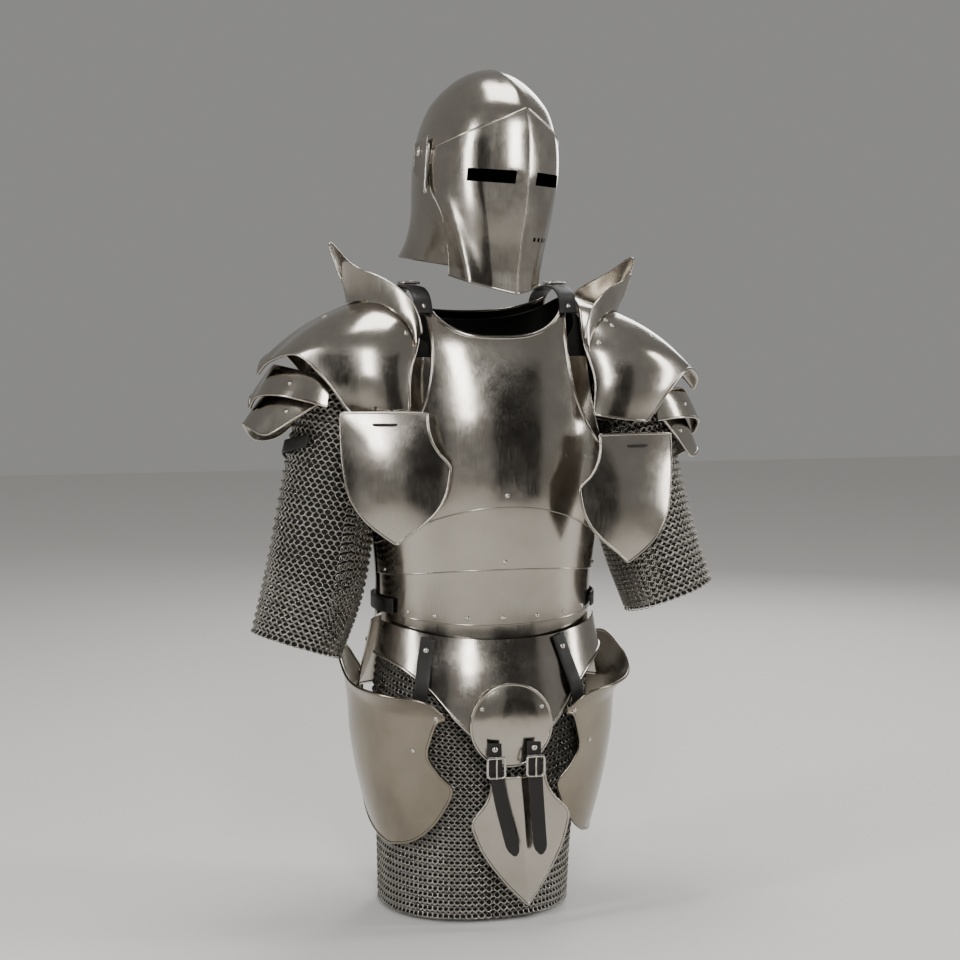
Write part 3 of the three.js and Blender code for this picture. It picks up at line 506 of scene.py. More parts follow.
def scatter(name: str, template: bpy.types.Object, frames: Array) -> bpy.types.Object:
    """Copies a small piece to many places, as one mesh, and removes the template.

    Args:
        name: The new object's name.
        template: The small piece, in metres round the origin.
        frames: One 4 by 4 matrix per copy, in metres.

    Returns:
        The new object.
    """
    base = coordinates(template.data)
    faces = [list(face.vertices) for face in template.data.polygons]
    smoothed = [face.use_smooth for face in template.data.polygons]
    bpy.data.objects.remove(template)
    count, size = len(frames), len(base)
    moved = np.einsum("nij,vj->nvi", frames[:, :3, :3], base) + frames[:, None, :3, 3]
    counts = np.array([len(face) for face in faces])
    corners = np.concatenate([np.array(face) for face in faces])
    loops = (corners[None, :] + (np.arange(count) * size)[:, None]).ravel()
    totals = np.tile(counts, count)
    starts = np.concatenate([[0], np.cumsum(totals)[:-1]])
    mesh = bpy.data.meshes.new(name)
    mesh.vertices.add(count * size)
    mesh.vertices.foreach_set("co", moved.ravel())
    mesh.loops.add(len(loops))
    mesh.loops.foreach_set("vertex_index", loops.astype(np.int32))
    mesh.polygons.add(len(totals))
    mesh.polygons.foreach_set("loop_start", starts.astype(np.int32))
    mesh.polygons.foreach_set("use_smooth", np.tile(np.array(smoothed), count))
    mesh.update(calc_edges=True)
    mesh.validate()
    item = bpy.data.objects.new(name, mesh)
    bpy.context.scene.collection.objects.link(item)
    return item


def frame_at(point: Array, normal: Array, along: Array = np.array([0.0, 0.0, 1.0])) -> Array:
    """A matrix with its Z on a normal and its X square to a direction.

    Args:
        point: The place in mm.
        normal: Its Z direction.
        along: A direction that its Y leans to.

    Returns:
        A 4 by 4 matrix in metres.
    """
    z = np.asarray(normal, float) / np.linalg.norm(normal)
    x = np.cross(along, z)
    x = x / max(np.linalg.norm(x), 1e-9)
    made = np.eye(4)
    made[:3, 0], made[:3, 1], made[:3, 2], made[:3, 3] = x, np.cross(z, x), z, np.asarray(point, float) * MM
    return made


def rivets(name: str, places: Sequence[tuple[Array, Array]], radius: float = 3.6) -> bpy.types.Object:
    """Domed rivet heads at places on a plate.

    Args:
        name: The piece's name.
        places: A point in mm and a normal for each.
        radius: The head's radius in mm.

    Returns:
        One object with all the heads.
    """
    deselect()
    bpy.ops.mesh.primitive_uv_sphere_add(segments=16, ring_count=10, radius=radius * MM)
    head = bpy.context.object
    in_edit_mode(
        head,
        lambda: bpy.ops.mesh.bisect(plane_co=(0, 0, 0), plane_no=(0, 0, 1), use_fill=True, clear_inner=True),
    )
    flat = coordinates(head.data)
    flat[:, 2] *= 0.62
    move_to(head.data, flat)
    soften(head, 50)
    return scatter(name, head, np.array([frame_at(point, normal) for point, normal in places]))


# ---- finishes -------------------------------------------------------------------------------------


def linear(colour: str) -> tuple[float, float, float, float]:
    """A hex sRGB colour as linear light.

    Args:
        colour: Six hex digits after a hash.

    Returns:
        Red, green, blue and alpha.
    """
    parts = [int(colour[i : i + 2], 16) / 255 for i in (1, 3, 5)]
    return (*(c / 12.92 if c <= 0.04045 else ((c + 0.055) / 1.055) ** 2.4 for c in parts), 1.0)


def node(tree: bpy.types.NodeTree, kind: str, settings: Optional[dict] = None, **links: object) -> bpy.types.Node:
    """Adds a shader node with its settings and links.

    Args:
        tree: The material's tree.
        kind: The node's type.
        settings: Attributes by name, and socket values by socket name.
        links: Sockets to link from, by this node's socket name with _ for a space.

    Returns:
        The node.
    """
    made = tree.nodes.new(kind)
    for key, value in (settings or {}).items():
        if hasattr(made, key) and key not in made.inputs:
            setattr(made, key, value)
        else:
            made.inputs[key].default_value = value
    for key, source in links.items():
        name = key.replace("_", " ")
        target = made.inputs[int(name[1:])] if name[0] == "n" and name[1:].isdigit() else made.inputs[name]
        tree.links.new(source, target)
    return made


@dataclass(frozen=True)
class PolishedSteel:
    """Mild steel, planished by hand and buffed: soft dents, fine rubbing marks and warm reflections.

    Args:
        name: The material's name.
        tone: Its main sRGB colour.
        shade: Its colour where handling has dulled it.
        rough: Roughness where it is brightest.
        dull: Roughness where it is dullest.
        dent: Height of the planishing dents in mm.
    """

    name: str = "buffed_mild_steel"
    tone: str = "#c4beb4"
    shade: str = "#9d958a"
    rough: float = 0.12
    dull: float = 0.25
    dent: float = 0.5

    def make(self) -> bpy.types.Material:
        """Builds the material."""
        material = bpy.data.materials.new(self.name)
        material.use_nodes = True
        tree = material.node_tree
        shader = tree.nodes["Principled BSDF"]
        shader.inputs["Metallic"].default_value = 1.0
        place = node(tree, "ShaderNodeTexCoord").outputs["Object"]
        # Planishing leaves dents about 45 mm apart; rubbing leaves marks about 0.6 mm wide, drawn coarse.
        dents = node(tree, "ShaderNodeTexNoise", {"Scale": 22.0, "Detail": 1.0}, Vector=place)
        drawn = node(tree, "ShaderNodeMapping", {"Scale": (1.0, 1.0, 0.05)}, Vector=place)
        rubbed = node(tree, "ShaderNodeTexNoise", {"Scale": 900.0, "Detail": 3.0}, Vector=drawn.outputs[0])
        cloud = node(tree, "ShaderNodeTexNoise", {"Scale": 14.0, "Detail": 5.0, "Roughness": 0.62}, Vector=place)
        level = node(
            tree,
            "ShaderNodeMapRange",
            {"From Min": 0.35, "From Max": 0.68, "To Min": self.rough, "To Max": self.dull},
            Value=cloud.outputs["Fac"],
        )
        streak = node(
            tree,
            "ShaderNodeMapRange",
            {"From Min": 0.3, "From Max": 0.7, "To Min": -0.03, "To Max": 0.05},
            Value=rubbed.outputs["Fac"],
        )
        total = node(tree, "ShaderNodeMath", {"operation": "ADD"}, n0=level.outputs[0], n1=streak.outputs[0])
        tree.links.new(total.outputs[0], shader.inputs["Roughness"])
        blend = node(
            tree,
            "ShaderNodeMix",
            {"data_type": "RGBA"},
            Factor=cloud.outputs["Fac"],
        )
        blend.inputs[6].default_value = linear(self.shade)
        blend.inputs[7].default_value = linear(self.tone)
        tree.links.new(blend.outputs[2], shader.inputs["Base Color"])
        low = node(
            tree,
            "ShaderNodeBump",
            {"Strength": 1.0, "Distance": self.dent * MM},
            Height=dents.outputs["Fac"],
        )
        fine = node(
            tree,
            "ShaderNodeBump",
            {"Strength": 0.18, "Distance": 0.03 * MM},
            Height=rubbed.outputs["Fac"],
            Normal=low.outputs[0],
        )
        tree.links.new(fine.outputs[0], shader.inputs["Normal"])
        return material


@dataclass(frozen=True)
class PlainFinish:
    """A plain finish with a grain: leather, dark steel for the painted shade inside the plates, or dull wire.

    Args:
        name: The material's name.
        tone: Its sRGB colour.
        shade: The colour of its low places.
        rough: Roughness.
        metallic: 1 for metal, 0 otherwise.
        grain: Size of its grain in mm.
        depth: Height of its grain in mm.
    """

    name: str
    tone: str
    shade: str
    rough: float
    metallic: float
    grain: float
    depth: float

    def make(self) -> bpy.types.Material:
        """Builds the material."""
        material = bpy.data.materials.new(self.name)
        material.use_nodes = True
        tree = material.node_tree
        shader = tree.nodes["Principled BSDF"]
        shader.inputs["Metallic"].default_value = self.metallic
        place = node(tree, "ShaderNodeTexCoord").outputs["Object"]
        cells = node(tree, "ShaderNodeTexVoronoi", {"Scale": 1000.0 / self.grain}, Vector=place)
        cloud = node(tree, "ShaderNodeTexNoise", {"Scale": 60.0, "Detail": 4.0}, Vector=place)
        blend = node(tree, "ShaderNodeMix", {"data_type": "RGBA"}, Factor=cloud.outputs["Fac"])
        blend.inputs[6].default_value = linear(self.shade)
        blend.inputs[7].default_value = linear(self.tone)
        tree.links.new(blend.outputs[2], shader.inputs["Base Color"])
        level = node(
            tree,
            "ShaderNodeMapRange",
            {"From Min": 0.3, "From Max": 0.7, "To Min": self.rough - 0.08, "To Max": self.rough + 0.1},
            Value=cloud.outputs["Fac"],
        )
        tree.links.new(level.outputs[0], shader.inputs["Roughness"])
        relief = node(
            tree,
            "ShaderNodeBump",
            {"Strength": 0.6, "Distance": self.depth * MM},
            Height=cells.outputs["Distance"],
        )
        tree.links.new(relief.outputs[0], shader.inputs["Normal"])
        return material


class Wardrobe:
    """The suit's materials, each made once."""

    def __init__(self) -> None:
        """Makes the materials."""
        self.steel = PolishedSteel().make()
        # A warmer, darker copy of the buffed steel for the tassets: its tone is a painted reflection of warm
        # surroundings, not a different steel.
        self.warm = PolishedSteel("buffed_steel_painted_reflection", "#a39b8c", "#746c60", 0.13, 0.26, 0.6).make()
        self.bright = PolishedSteel("polished_steel_fittings", "#dcd8d0", "#b9b3aa", 0.14, 0.26, 0.05).make()
        # Dark steel for the plates' inner faces: painted shade inside the plates.
        self.inside = PlainFinish("steel_inside_painted_shade", "#3b3733", "#1f1c1a", 0.5, 1.0, 3.0, 0.12).make()
        self.leather = PlainFinish("black_harness_leather", "#1c1815", "#0d0b0a", 0.5, 0.0, 1.1, 0.12).make()
        self.wire = PlainFinish("grey_mail_wire", "#cbc7bf", "#9c978e", 0.3, 1.0, 4.0, 0.02).make()
        # A dark sheet behind the mail rings: a black backing, and painted shade in the depth of the mail.
        self.depth = PlainFinish("mail_backing_and_painted_shade", "#15140f", "#0a0a09", 0.85, 0.0, 4.0, 0.05).make()

    def put(self, item: bpy.types.Object, material: bpy.types.Material) -> None:
        """Gives an object one material all over."""
        item.data.materials.clear()
        item.data.materials.append(material)
        item.data.polygons.foreach_set("material_index", np.zeros(len(item.data.polygons), np.int32))


def dress(item: bpy.types.Object, slot: Slot, body: Body, *nodes: str) -> bpy.types.Object:
    """Hands a piece to its body in place of its solids, and names it by its first solid and its slot's word.

    Args:
        item: The piece.
        slot: The record's slot.
        body: The body that it rides on.
        nodes: The solids that it stands for.

    Returns:
        The piece.
    """
    if nodes:
        item.name = f"{nodes[0]}_{slot.look}"
    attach(item, body.value)
    if nodes:
        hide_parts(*nodes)
    LOG.info("%s: %d faces", item.name, len(item.data.polygons))
    return item


def finish_plate(
    wardrobe: Wardrobe,
    name: str,
    wall: bpy.types.Object,
    extras: Sequence[bpy.types.Object],
    material: Optional[bpy.types.Material] = None,
) -> bpy.types.Object:
    """Colours a plate's two faces and joins its rolled edges to it.

    Args:
        wardrobe: The materials.
        name: The finished piece's name.
        wall: The plate.
        extras: Its rolled edges and ridges.
        material: The outer finish, polished steel if not given.

    Returns:
        The finished piece.
    """
    outer = material or wardrobe.steel
    for extra in extras:
        soften(extra, 60)
        wardrobe.put(extra, outer)
    wall.data.materials.clear()
    wall.data.materials.append(outer)
    # The second material paints shade on the inner face.
    wall.data.materials.append(wardrobe.inside)
    soften(wall, 32)
    return join(name, [wall, *extras])


def mark_inside(plate: Plate, wall: bpy.types.Object) -> None:
    """Gives the inner face of a plate its second material, the dark steel of painted shade."""
    count = plate.across * plate.along
    index = np.zeros(len(wall.data.polygons), np.int32)
    index[count : 2 * count] = 1
    wall.data.polygons.foreach_set("material_index", index)


def make_plate(
    wardrobe: Wardrobe,
    plate: Plate,
    extras: Sequence[bpy.types.Object],
    material: Optional[bpy.types.Material] = None,
) -> bpy.types.Object:
    """Builds, colours and joins a plate."""
    wall = plate.build()
    mark_inside(plate, wall)
    made = finish_plate(wardrobe, plate.name + "_plate", wall, extras, material)
    return made


# ---- lines, places and straps ---------------------------------------------------------------------


def placed(move: Sequence[float], turn: Sequence[float] = (0, 0, 0), outer_first: bool = False) -> Array:
    """A hung group's matrix in mm.

    Args:
        move: Where its origin goes.
        turn: Degrees about X, Y and Z.
        outer_first: Turns about X first and Z last, instead of Z first and X last.

    Returns:
        A 4 by 4 matrix.
    """
    x, y, z = (Matrix.Rotation(math.radians(a), 3, axis) for a, axis in zip(turn, "XYZ"))
    made = np.eye(4)
    made[:3, :3] = np.array(z @ y @ x if outer_first else x @ y @ z)
    made[:3, 3] = move
    return made


def apply(matrix: Array, where: Array) -> Array:
    """Moves points by a 4 by 4 matrix."""
    return where @ matrix[:3, :3].T + matrix[:3, 3]


def moved(form: Form, matrix: Array) -> Form:
    """The form moved by a 4 by 4 matrix."""
    return lambda s, t: apply(matrix, form(s, t))


class Spline:
    """A smooth line through points, a centripetal Catmull-Rom curve."""

    def __init__(self, through: Sequence[Sequence[float]]) -> None:
        """Takes the points in mm."""
        own = np.array(through, float)
        self.count = len(own)
        self.points = np.vstack([2 * own[0] - own[1], own, 2 * own[-1] - own[-2]])

    def at(self, t: Array) -> Array:
        """Points at shares 0 to 1 of the line's spans."""
        place = np.clip(np.asarray(t, float), 0, 1) * (self.count - 1)
        i = np.minimum(place.astype(int), self.count - 2)
        w = (place - i)[..., None]
        a, b, c, d = (self.points[i + k] for k in range(4))
        step = [np.linalg.norm(q - p, axis=-1, keepdims=True) ** 0.5 for p, q in ((a, b), (b, c), (c, d))]
        out = ((b - a) / step[0] - (c - a) / (step[0] + step[1]) + (c - b) / step[1]) * step[1]
        into = ((c - b) / step[1] - (d - b) / (step[1] + step[2]) + (d - c) / step[2]) * step[1]
        return (
            b
            + out * w
            + (3 * (c - b) - 2 * out - into) * w**2
            + (2 * (b - c) + out + into) * w**3
        )

    def tangent(self, t: Array) -> Array:
        """Unit directions of the line."""
        t = np.asarray(t, float)
        way = self.at(np.minimum(t + 1e-4, 1)) - self.at(np.maximum(t - 1e-4, 0))
        return way / np.linalg.norm(way, axis=-1, keepdims=True)


@dataclass
class Strap:
    """A leather strap through stations, each with the direction that its width runs in.

    Args:
        name: The piece's name.
        stations: Points in mm on its inner face.
        wide: The width's direction at each.
        width: The strap's width in mm.
        away: A point that its outside faces away from.
        steps: Rows of its mesh.
        tip: Share of its length at which it starts to narrow to a point, 1 for a square end.
    """

    name: str
    stations: Sequence[Sequence[float]]
    wide: Sequence[Sequence[float]]
    width: float
    away: Array
    steps: int = 32
    tip: float = 1.0

    def plate(self) -> Plate:
        """The strap as a formed sheet."""
        spine = Spline(self.stations)
        wide = np.array(self.wide, float)

        def form(s: Array, t: Array) -> Array:
            place = np.asarray(t, float) * (len(wide) - 1)
            i = np.minimum(place.astype(int), len(wide) - 2)
            across = mix(wide[i], wide[i + 1], (place - i)[..., None])
            across = across / np.linalg.norm(across, axis=-1, keepdims=True)
            past = np.clip((np.asarray(t) - self.tip) / max(1 - self.tip, 1e-6), 0, 0.97)
            half = (np.asarray(s) - 0.5) * self.width * np.sqrt(1 - past**2)
            return spine.at(t) + across * half[..., None]

        return Plate(self.name, form, 4, self.steps, self.away, 0.0, LEATHER)

    def build(self, wardrobe: Wardrobe) -> bpy.types.Object:
        """Makes the strap with its edges dressed round."""
        item = self.plate().build()
        modify(item, "BEVEL", width=0.7 * MM, segments=2, limit_method="ANGLE", angle_limit=math.radians(50))
        soften(item, 50)
        wardrobe.put(item, wardrobe.leather)
        return item


@dataclass
class Buckle:
    """A bent-wire buckle with its tongue.

    Args:
        name: The piece's name.
        place: A 4 by 4 matrix in mm, the frame in its XZ plane and its face on -Y.
        width: Across the strap in mm.
        height: Along the strap in mm.
        wire: The wire's radius in mm.
    """

    name: str
    place: Array
    width: float = 27.0
    height: float = 28.0
    wire: float = 1.7

    def build(self, wardrobe: Wardrobe) -> bpy.types.Object:
        """Makes the frame and the tongue."""
        w, h, r = self.width / 2 - self.wire, self.height / 2 - self.wire, 4.0
        corners = []
        for x, z, start in ((w - r, h - r, 0), (r - w, h - r, 90), (r - w, r - h, 180), (w - r, r - h, 270)):
            turn = np.radians(start + np.linspace(0, 90, 6))
            corners.append(points(x + r * np.cos(turn), 0 * turn, z + r * np.sin(turn)))
        ring = tube(self.name, apply(self.place, np.concatenate(corners)), self.wire, True, 1.6)
        prong = np.array(
            [(0, 2.2, h), (0, -1.6, h + 0.6), (0, -2.4, h - 2), (0, -1.4, 2), (0, -1.9, -h - 0.4), (0, -0.8, -h - 1.2)]
        )
        tongue = tube("tongue", apply(self.place, Spline(prong).at(np.linspace(0, 1, 30))), 1.2, False, 1.5)
        bar = tube("bar", apply(self.place, np.array([(-w, 0, h), (w, 0, h)], float)), self.wire + 0.5, False, 3)
        parts = [ring, tongue, bar]
        for part in parts:
            soften(part, 60)
            wardrobe.put(part, wardrobe.bright)
        return join(self.name, parts)


def heads(wardrobe: Wardrobe, name: str, plate: Plate, places: Sequence[tuple], radius: float = 3.4) -> bpy.types.Object:
    """Rivet heads at places of a plate.

    Args:
        wardrobe: The materials.
        name: The piece's name.
        plate: The plate that they sit on.
        places: Shares across and along it.
        radius: The heads' radius in mm.

    Returns:
        The heads as one piece.
    """
    made = rivets(name, [(plate.face(np.array(s), np.array(t)), plate.normal(s, t)) for s, t in places], radius)
    wardrobe.put(made, wardrobe.bright)
    return dress(made, Slot.FITTINGS, Body.SUIT)


# ---- cuirass --------------------------------------------------------------------------------------


@dataclass
class Cuirass:
    """Breastplate, lapped belly plates, fauld, back and culet.

    Args:
        wardrobe: The materials.
        seam: Angle from the front where the front plates stop.
        back_seam: Angle from the front where the back plates start.
        neck: Half width, depth and top of the neck opening.
        underlap: How far a plate runs up under the one above.
    """

    wardrobe: Wardrobe
    seam: float = 82.0
    back_seam: float = 96.0
    neck: tuple = (97.0, 51.0, -3.0)
    underlap: float = 16.0
    armhole: Table = Table(
        "z x", ((-3, 97), (-32, 92), (-62, 90), (-96, 92), (-130, 99), (-165, 114), (-190, 133), (-207, 150))
    )
    back_armhole: Table = Table("z x", ((2, 106), (-40, 106), (-90, 110), (-140, 121), (-180, 137), (-207, 152)))
    fauld_edge: Table = Table("x z", ((0, -604), (25, -594), (60, -562), (100, -520), (140, -494), (180, -478)))

    def edge_angle(self, z: Array) -> Array:
        """Angle of the breastplate's side edge at a height."""
        open_at = TORSO.angle_out(self.armhole.column("z", "x")(z), z)
        return np.minimum(np.where(z < ARMPIT_Z, self.seam, open_at), self.seam)

    def back_edge_angle(self, z: Array) -> Array:
        """Angle of the backplate's side edge from the middle of the back, at a height."""
        open_at = TORSO.angle_out(self.back_armhole.column("z", "x")(z), z)
        most = 180 - self.back_seam
        return np.minimum(np.where(z < ARMPIT_Z, most, open_at), most)

    def neck_z(self, x: Array) -> Array:
        """Height of the neck edge."""
        half, depth, top = self.neck
        return top - depth * (1 - np.abs(x / half) ** 2.6)

    @staticmethod
    def breast_edge(x: Array) -> Array:
        """Height of the breastplate's lower edge."""
        return -274 - 56 * (x / 155) ** 2

    @staticmethod
    def belly_edge(x: Array) -> Array:
        """Height of the upper belly plate's lower edge."""
        return -359 - 12 * (x / 150) ** 2

    @staticmethod
    def waist_edge(x: Array) -> Array:
        """Height of the lower belly plate's lower edge."""
        return -436 + 12 * (x / 150) ** 2

    @staticmethod
    def band_edge(x: Array) -> Array:
        """Height of the waist band's lower edge."""
        return -474 + 12 * (x / 150) ** 2

    def breast(self) -> Plate:
        """The breastplate's sheet."""

        def form(s: Array, t: Array) -> Array:
            side = 2 * s - 1
            angle = side * self.edge_angle(mix(self.neck[2], self.breast_edge(153.0), t))
            low = 155 * np.sin(np.radians(side * self.seam))
            return TORSO.at(angle, mix(self.neck_z(self.neck[0] * side), self.breast_edge(low), t))

        return Plate("breastplate", form, 64, 48, lift=3 * LAP)

    def belt(self, name: str, top: Callable, bottom: Callable, lift: float, rows: int) -> Plate:
        """A belt of plate between two edges over the front of the torso."""

        def form(s: Array, t: Array) -> Array:
            angle = (2 * s - 1) * self.seam
            x = 155 * np.sin(np.radians(angle))
            return TORSO.at(angle, mix(top(x), bottom(x), t))

        return Plate(name, form, 64, rows, lift=lift)

    def fauld(self) -> Plate:
        """The flared belly plate that comes down to a point."""
        edge = self.fauld_edge.column("x", "z")

        def form(s: Array, t: Array) -> Array:
            angle = (2 * s - 1) * 78
            x = 178 * np.abs(np.sin(np.radians(angle)))
            return HIPS.at(angle, mix(-455 + 14 * (x / 150) ** 2, edge(x), t))

        return Plate("fauld", form, 96, 28, lift=LAP)

    def back(self) -> Plate:
        """The backplate's sheet."""

        def form(s: Array, t: Array) -> Array:
            side = 2 * s - 1
            angle = 180 - side * self.back_edge_angle(mix(2.0, -440.0, t))
            top = 2 - 20 * (1 - np.abs(side) ** 2.2)
            return TORSO.at(angle, mix(top, -440.0, t))

        return Plate("backplate", form, 56, 48, lift=LAP)

    def culet(self) -> Plate:
        """The skirt plate below the back."""

        def form(s: Array, t: Array) -> Array:
            side = 2 * s - 1
            return HIPS.at(180 - side * (180 - self.back_seam), mix(-446.0, -536 - 14 * (1 - side**2), t))

        return Plate("culet", form, 56, 16, lift=LAP)

    def gusset(self, name: str, sign: int) -> Plate:
        """The arm gusset that shows past the armhole."""

        def form(s: Array, t: Array) -> Array:
            z = mix(-76.0, -186.0, t)
            wing = mix(-7.0, 15.0, s) - 5 * np.sin(np.pi * t) * (s - 1)
            where = TORSO.at(sign * np.minimum(self.edge_angle(z) + wing, 80), z)
            where[..., 0] += sign * 4 * np.asarray(s) ** 2
            return where

        return Plate(f"gusset_{name}", form, 10, 24, lift=-1.4)

    def build(self) -> list[bpy.types.Object]:
        """Makes all the plates with their rolled edges.

        Returns:
            The finished pieces.
        """
        made = []

        def add(plate: Plate, *bars: bpy.types.Object) -> None:
            piece = make_plate(self.wardrobe, plate, bars)
            made.append(dress(piece, Slot.STEEL, Body.SUIT, plate.name))

        breast = self.breast()
        add(
            breast,
            tube("breast_foot", breast.edge("bottom"), 1.3),
            tube("neck_roll", breast.edge("top"), 3.1),
            tube("armhole_roll_a", breast.edge("start", 0.0, 0.66), 2.9),
            tube("armhole_roll_b", breast.edge("end", 0.0, 0.66), 2.9),
        )
        upper = self.belt(
            "belly_plate_upper", lambda x: self.breast_edge(x) + self.underlap, self.belly_edge, 2 * LAP, 20
        )
        add(upper, tube("upper_foot", upper.edge("bottom"), 1.2))
        lower = self.belt(
            "belly_plate_lower", lambda x: self.belly_edge(x) + self.underlap, self.waist_edge, LAP, 18
        )
        add(lower, tube("lower_foot", lower.edge("bottom"), 1.2))
        made.append(heads(self.wardrobe, "breast_rivets", breast, ((0.5, 0.93), (0.07, 0.95), (0.93, 0.95))))
        made.append(heads(self.wardrobe, "belly_rivets", upper, ((0.5, 0.9), (0.06, 0.9), (0.94, 0.9))))
        row = [(share, 0.9) for share in (0.06, 0.18, 0.29, 0.4, 0.5, 0.6, 0.71, 0.82, 0.94)]
        made.append(heads(self.wardrobe, "waist_rivets", lower, row))
        band = self.belt("waist_band", lambda x: self.waist_edge(x) + self.underlap, self.band_edge, 0.0, 10)
        add(band, tube("waist_roll", band.edge("bottom"), 2.6))
        fauld = self.fauld()
        add(fauld, tube("fauld_roll", fauld.edge("bottom", count=160), 2.6, step=4))
        back = self.back()
        add(
            back,
            tube("back_neck_roll", back.edge("top"), 2.6),
            tube("back_arm_roll_a", back.edge("start", 0.0, 0.47), 2.4),
            tube("back_arm_roll_b", back.edge("end", 0.0, 0.47), 2.4),
        )
        culet = self.culet()
        add(culet, tube("culet_roll", culet.edge("bottom"), 2.2))
        corners = ((0.04, 0.3), (0.04, 0.8), (0.96, 0.3), (0.96, 0.8))
        made.append(heads(self.wardrobe, "culet_rivets", culet, corners))
        for name, sign in SIDES:
            gusset = self.gusset(name, sign)
            add(gusset, tube("gusset_roll", gusset.edge("end"), 1.5))
        return made


@dataclass
class Harness:
    """The straps that close the cuirass over the shoulders and at the waist."""

    wardrobe: Wardrobe

    def build(self) -> list[bpy.types.Object]:
        """Makes the straps and their buckles."""
        made = []
        rows = (
            ((100, -82, -18), (101, -70, 2), (102, -46, 13), (104, -12, 17))
            + ((105, 26, 18), (105, 60, 14), (104, 84, 3), (103, 94, -14))
        )
        for name, sign in SIDES:
            line = [(sign * x, y, z) for x, y, z in rows]
            away = np.array([sign * 104, 10, -200.0])
            strap = Strap(f"shoulder_strap_{name}", line, [(1, 0, 0)] * len(line), 24, away)
            made.append(dress(strap.build(self.wardrobe), Slot.LEATHER, Body.SUIT, strap.name))
            buckle = Buckle(f"shoulder_buckle_{name}", placed((sign * 104, 0, 23.4), (-90, 0, 0)), 30, 26)
            made.append(dress(buckle.build(self.wardrobe), Slot.FITTINGS, Body.SUIT, buckle.name))
            ends = heads(self.wardrobe, f"shoulder_strap_rivets_{name}", strap.plate(), ((0.5, 0.06), (0.5, 0.94)), 3.0)
            made.append(ends)
            turns = (62, 72, 82, 92, 102, 112)
            line = []
            for turn in turns:
                where = TORSO.at(np.array(sign * turn), np.array(-416.0))
                out = np.array([where[0], where[1], 0.0])
                where = where + out / np.linalg.norm(out) * 3 * LAP
                line.append((where[0], where[1], -414.0))
            strap = Strap(f"side_strap_{name}", line, [(0, 0, 1)] * len(line), 20, np.array([0, 0, -414.0]))
            made.append(dress(strap.build(self.wardrobe), Slot.LEATHER, Body.SUIT, strap.name))
        return made


# ---- cod plates and tassets -----------------------------------------------------------------------


@dataclass
class CodPlates:
    """The round plate at the fork and the shield that hangs from it on two buckled straps."""

    wardrobe: Wardrobe
    centre: tuple = (0.0, -163.0, -564.0)
    radius: float = 55.0
    dish: Table = Table("r h", ((0, 5.5), (18, 4.9), (36, 2.8), (50, -0.6), (55, -2.2)))
    ogee: Table = Table(
        "drop half",
        ((0, 36), (14, 38), (34, 47), (58, 66), (78, 63), (102, 54), (128, 39), (154, 20), (176, 1.2)),
    )
    hang: Array = field(default_factory=lambda: placed((11, -150, -634), (2, -4.3, 0)))

    def disc(self) -> Plate:
        """The dished disc."""
        height = self.dish.column("r", "h")

        def form(s: Array, t: Array) -> Array:
            r = self.radius * np.asarray(t)
            turn = 2 * np.pi * np.asarray(s)
            x, y, z = self.centre
            return points(x + r * np.cos(turn), y - height(r), z + r * np.sin(turn))

        return Plate("cod_disc", form, 72, 14, np.array([0, 300.0, -564]), wrapped=True)

    def shield(self) -> Plate:
        """The keeled ogee shield."""
        half = self.ogee.column("drop", "half")

        def form(s: Array, t: Array) -> Array:
            drop = 176 * np.asarray(t)
            x = (2 * s - 1) * half(drop)
            ridge = 15 * np.maximum(1 - np.abs(x) / 68, 0) ** 1.4
            return points(x, -ridge - 4 * np.sin(np.pi * t), -drop)

        return Plate("cod_shield", moved(form, self.hang), 44, 48, apply(self.hang, np.array([0, 300.0, -80])))

    def build(self) -> list[bpy.types.Object]:
        """Makes the disc, the shield, and the straps."""
        disc, shield = self.disc(), self.shield()
        made = [
            dress(
                make_plate(self.wardrobe, disc, [tube("disc_roll", disc.edge("bottom"), 2.2, True, 4)]),
                Slot.STEEL,
                Body.SUIT,
                "cod_disc",
            ),
            dress(
                make_plate(self.wardrobe, shield, [tube("shield_roll", shield.rim(80), 2.1, True, 3)]),
                Slot.STEEL,
                Body.SUIT,
                "cod_shield",
            ),
        ]
        made.append(heads(self.wardrobe, "disc_rivets", disc, ((0.415, 0.86), (0.085, 0.86)), 3.2))
        for name, sign in SIDES:
            rows = (
                (27, 0, -175, -584),
                (27, 0, -177, -604),
                (27, 2, -176, -622),
                (26, 4, -176, -642),
                (24, 8, -176, -672),
                (21, 13, -177, -704),
                (18, 19, -176, -738),
            )
            line = [(sign * out + over, y, z) for out, over, y, z in rows]
            away = np.array([0, 300.0, -650])
            strap = Strap(f"cod_strap_{name}", line, [(1, 0, -0.06)] * len(line), 19, away, tip=0.92)
            made.append(dress(strap.build(self.wardrobe), Slot.LEATHER, Body.SUIT, strap.name))
            buckle = Buckle(f"cod_buckle_{name}", placed((sign * 27 + 1, -182.4, -616)), 27, 30)
            made.append(dress(buckle.build(self.wardrobe), Slot.FITTINGS, Body.SUIT, buckle.name))
            made.append(heads(self.wardrobe, f"cod_strap_rivet_{name}", strap.plate(), ((0.5, 0.07),), 4.2))
        return made


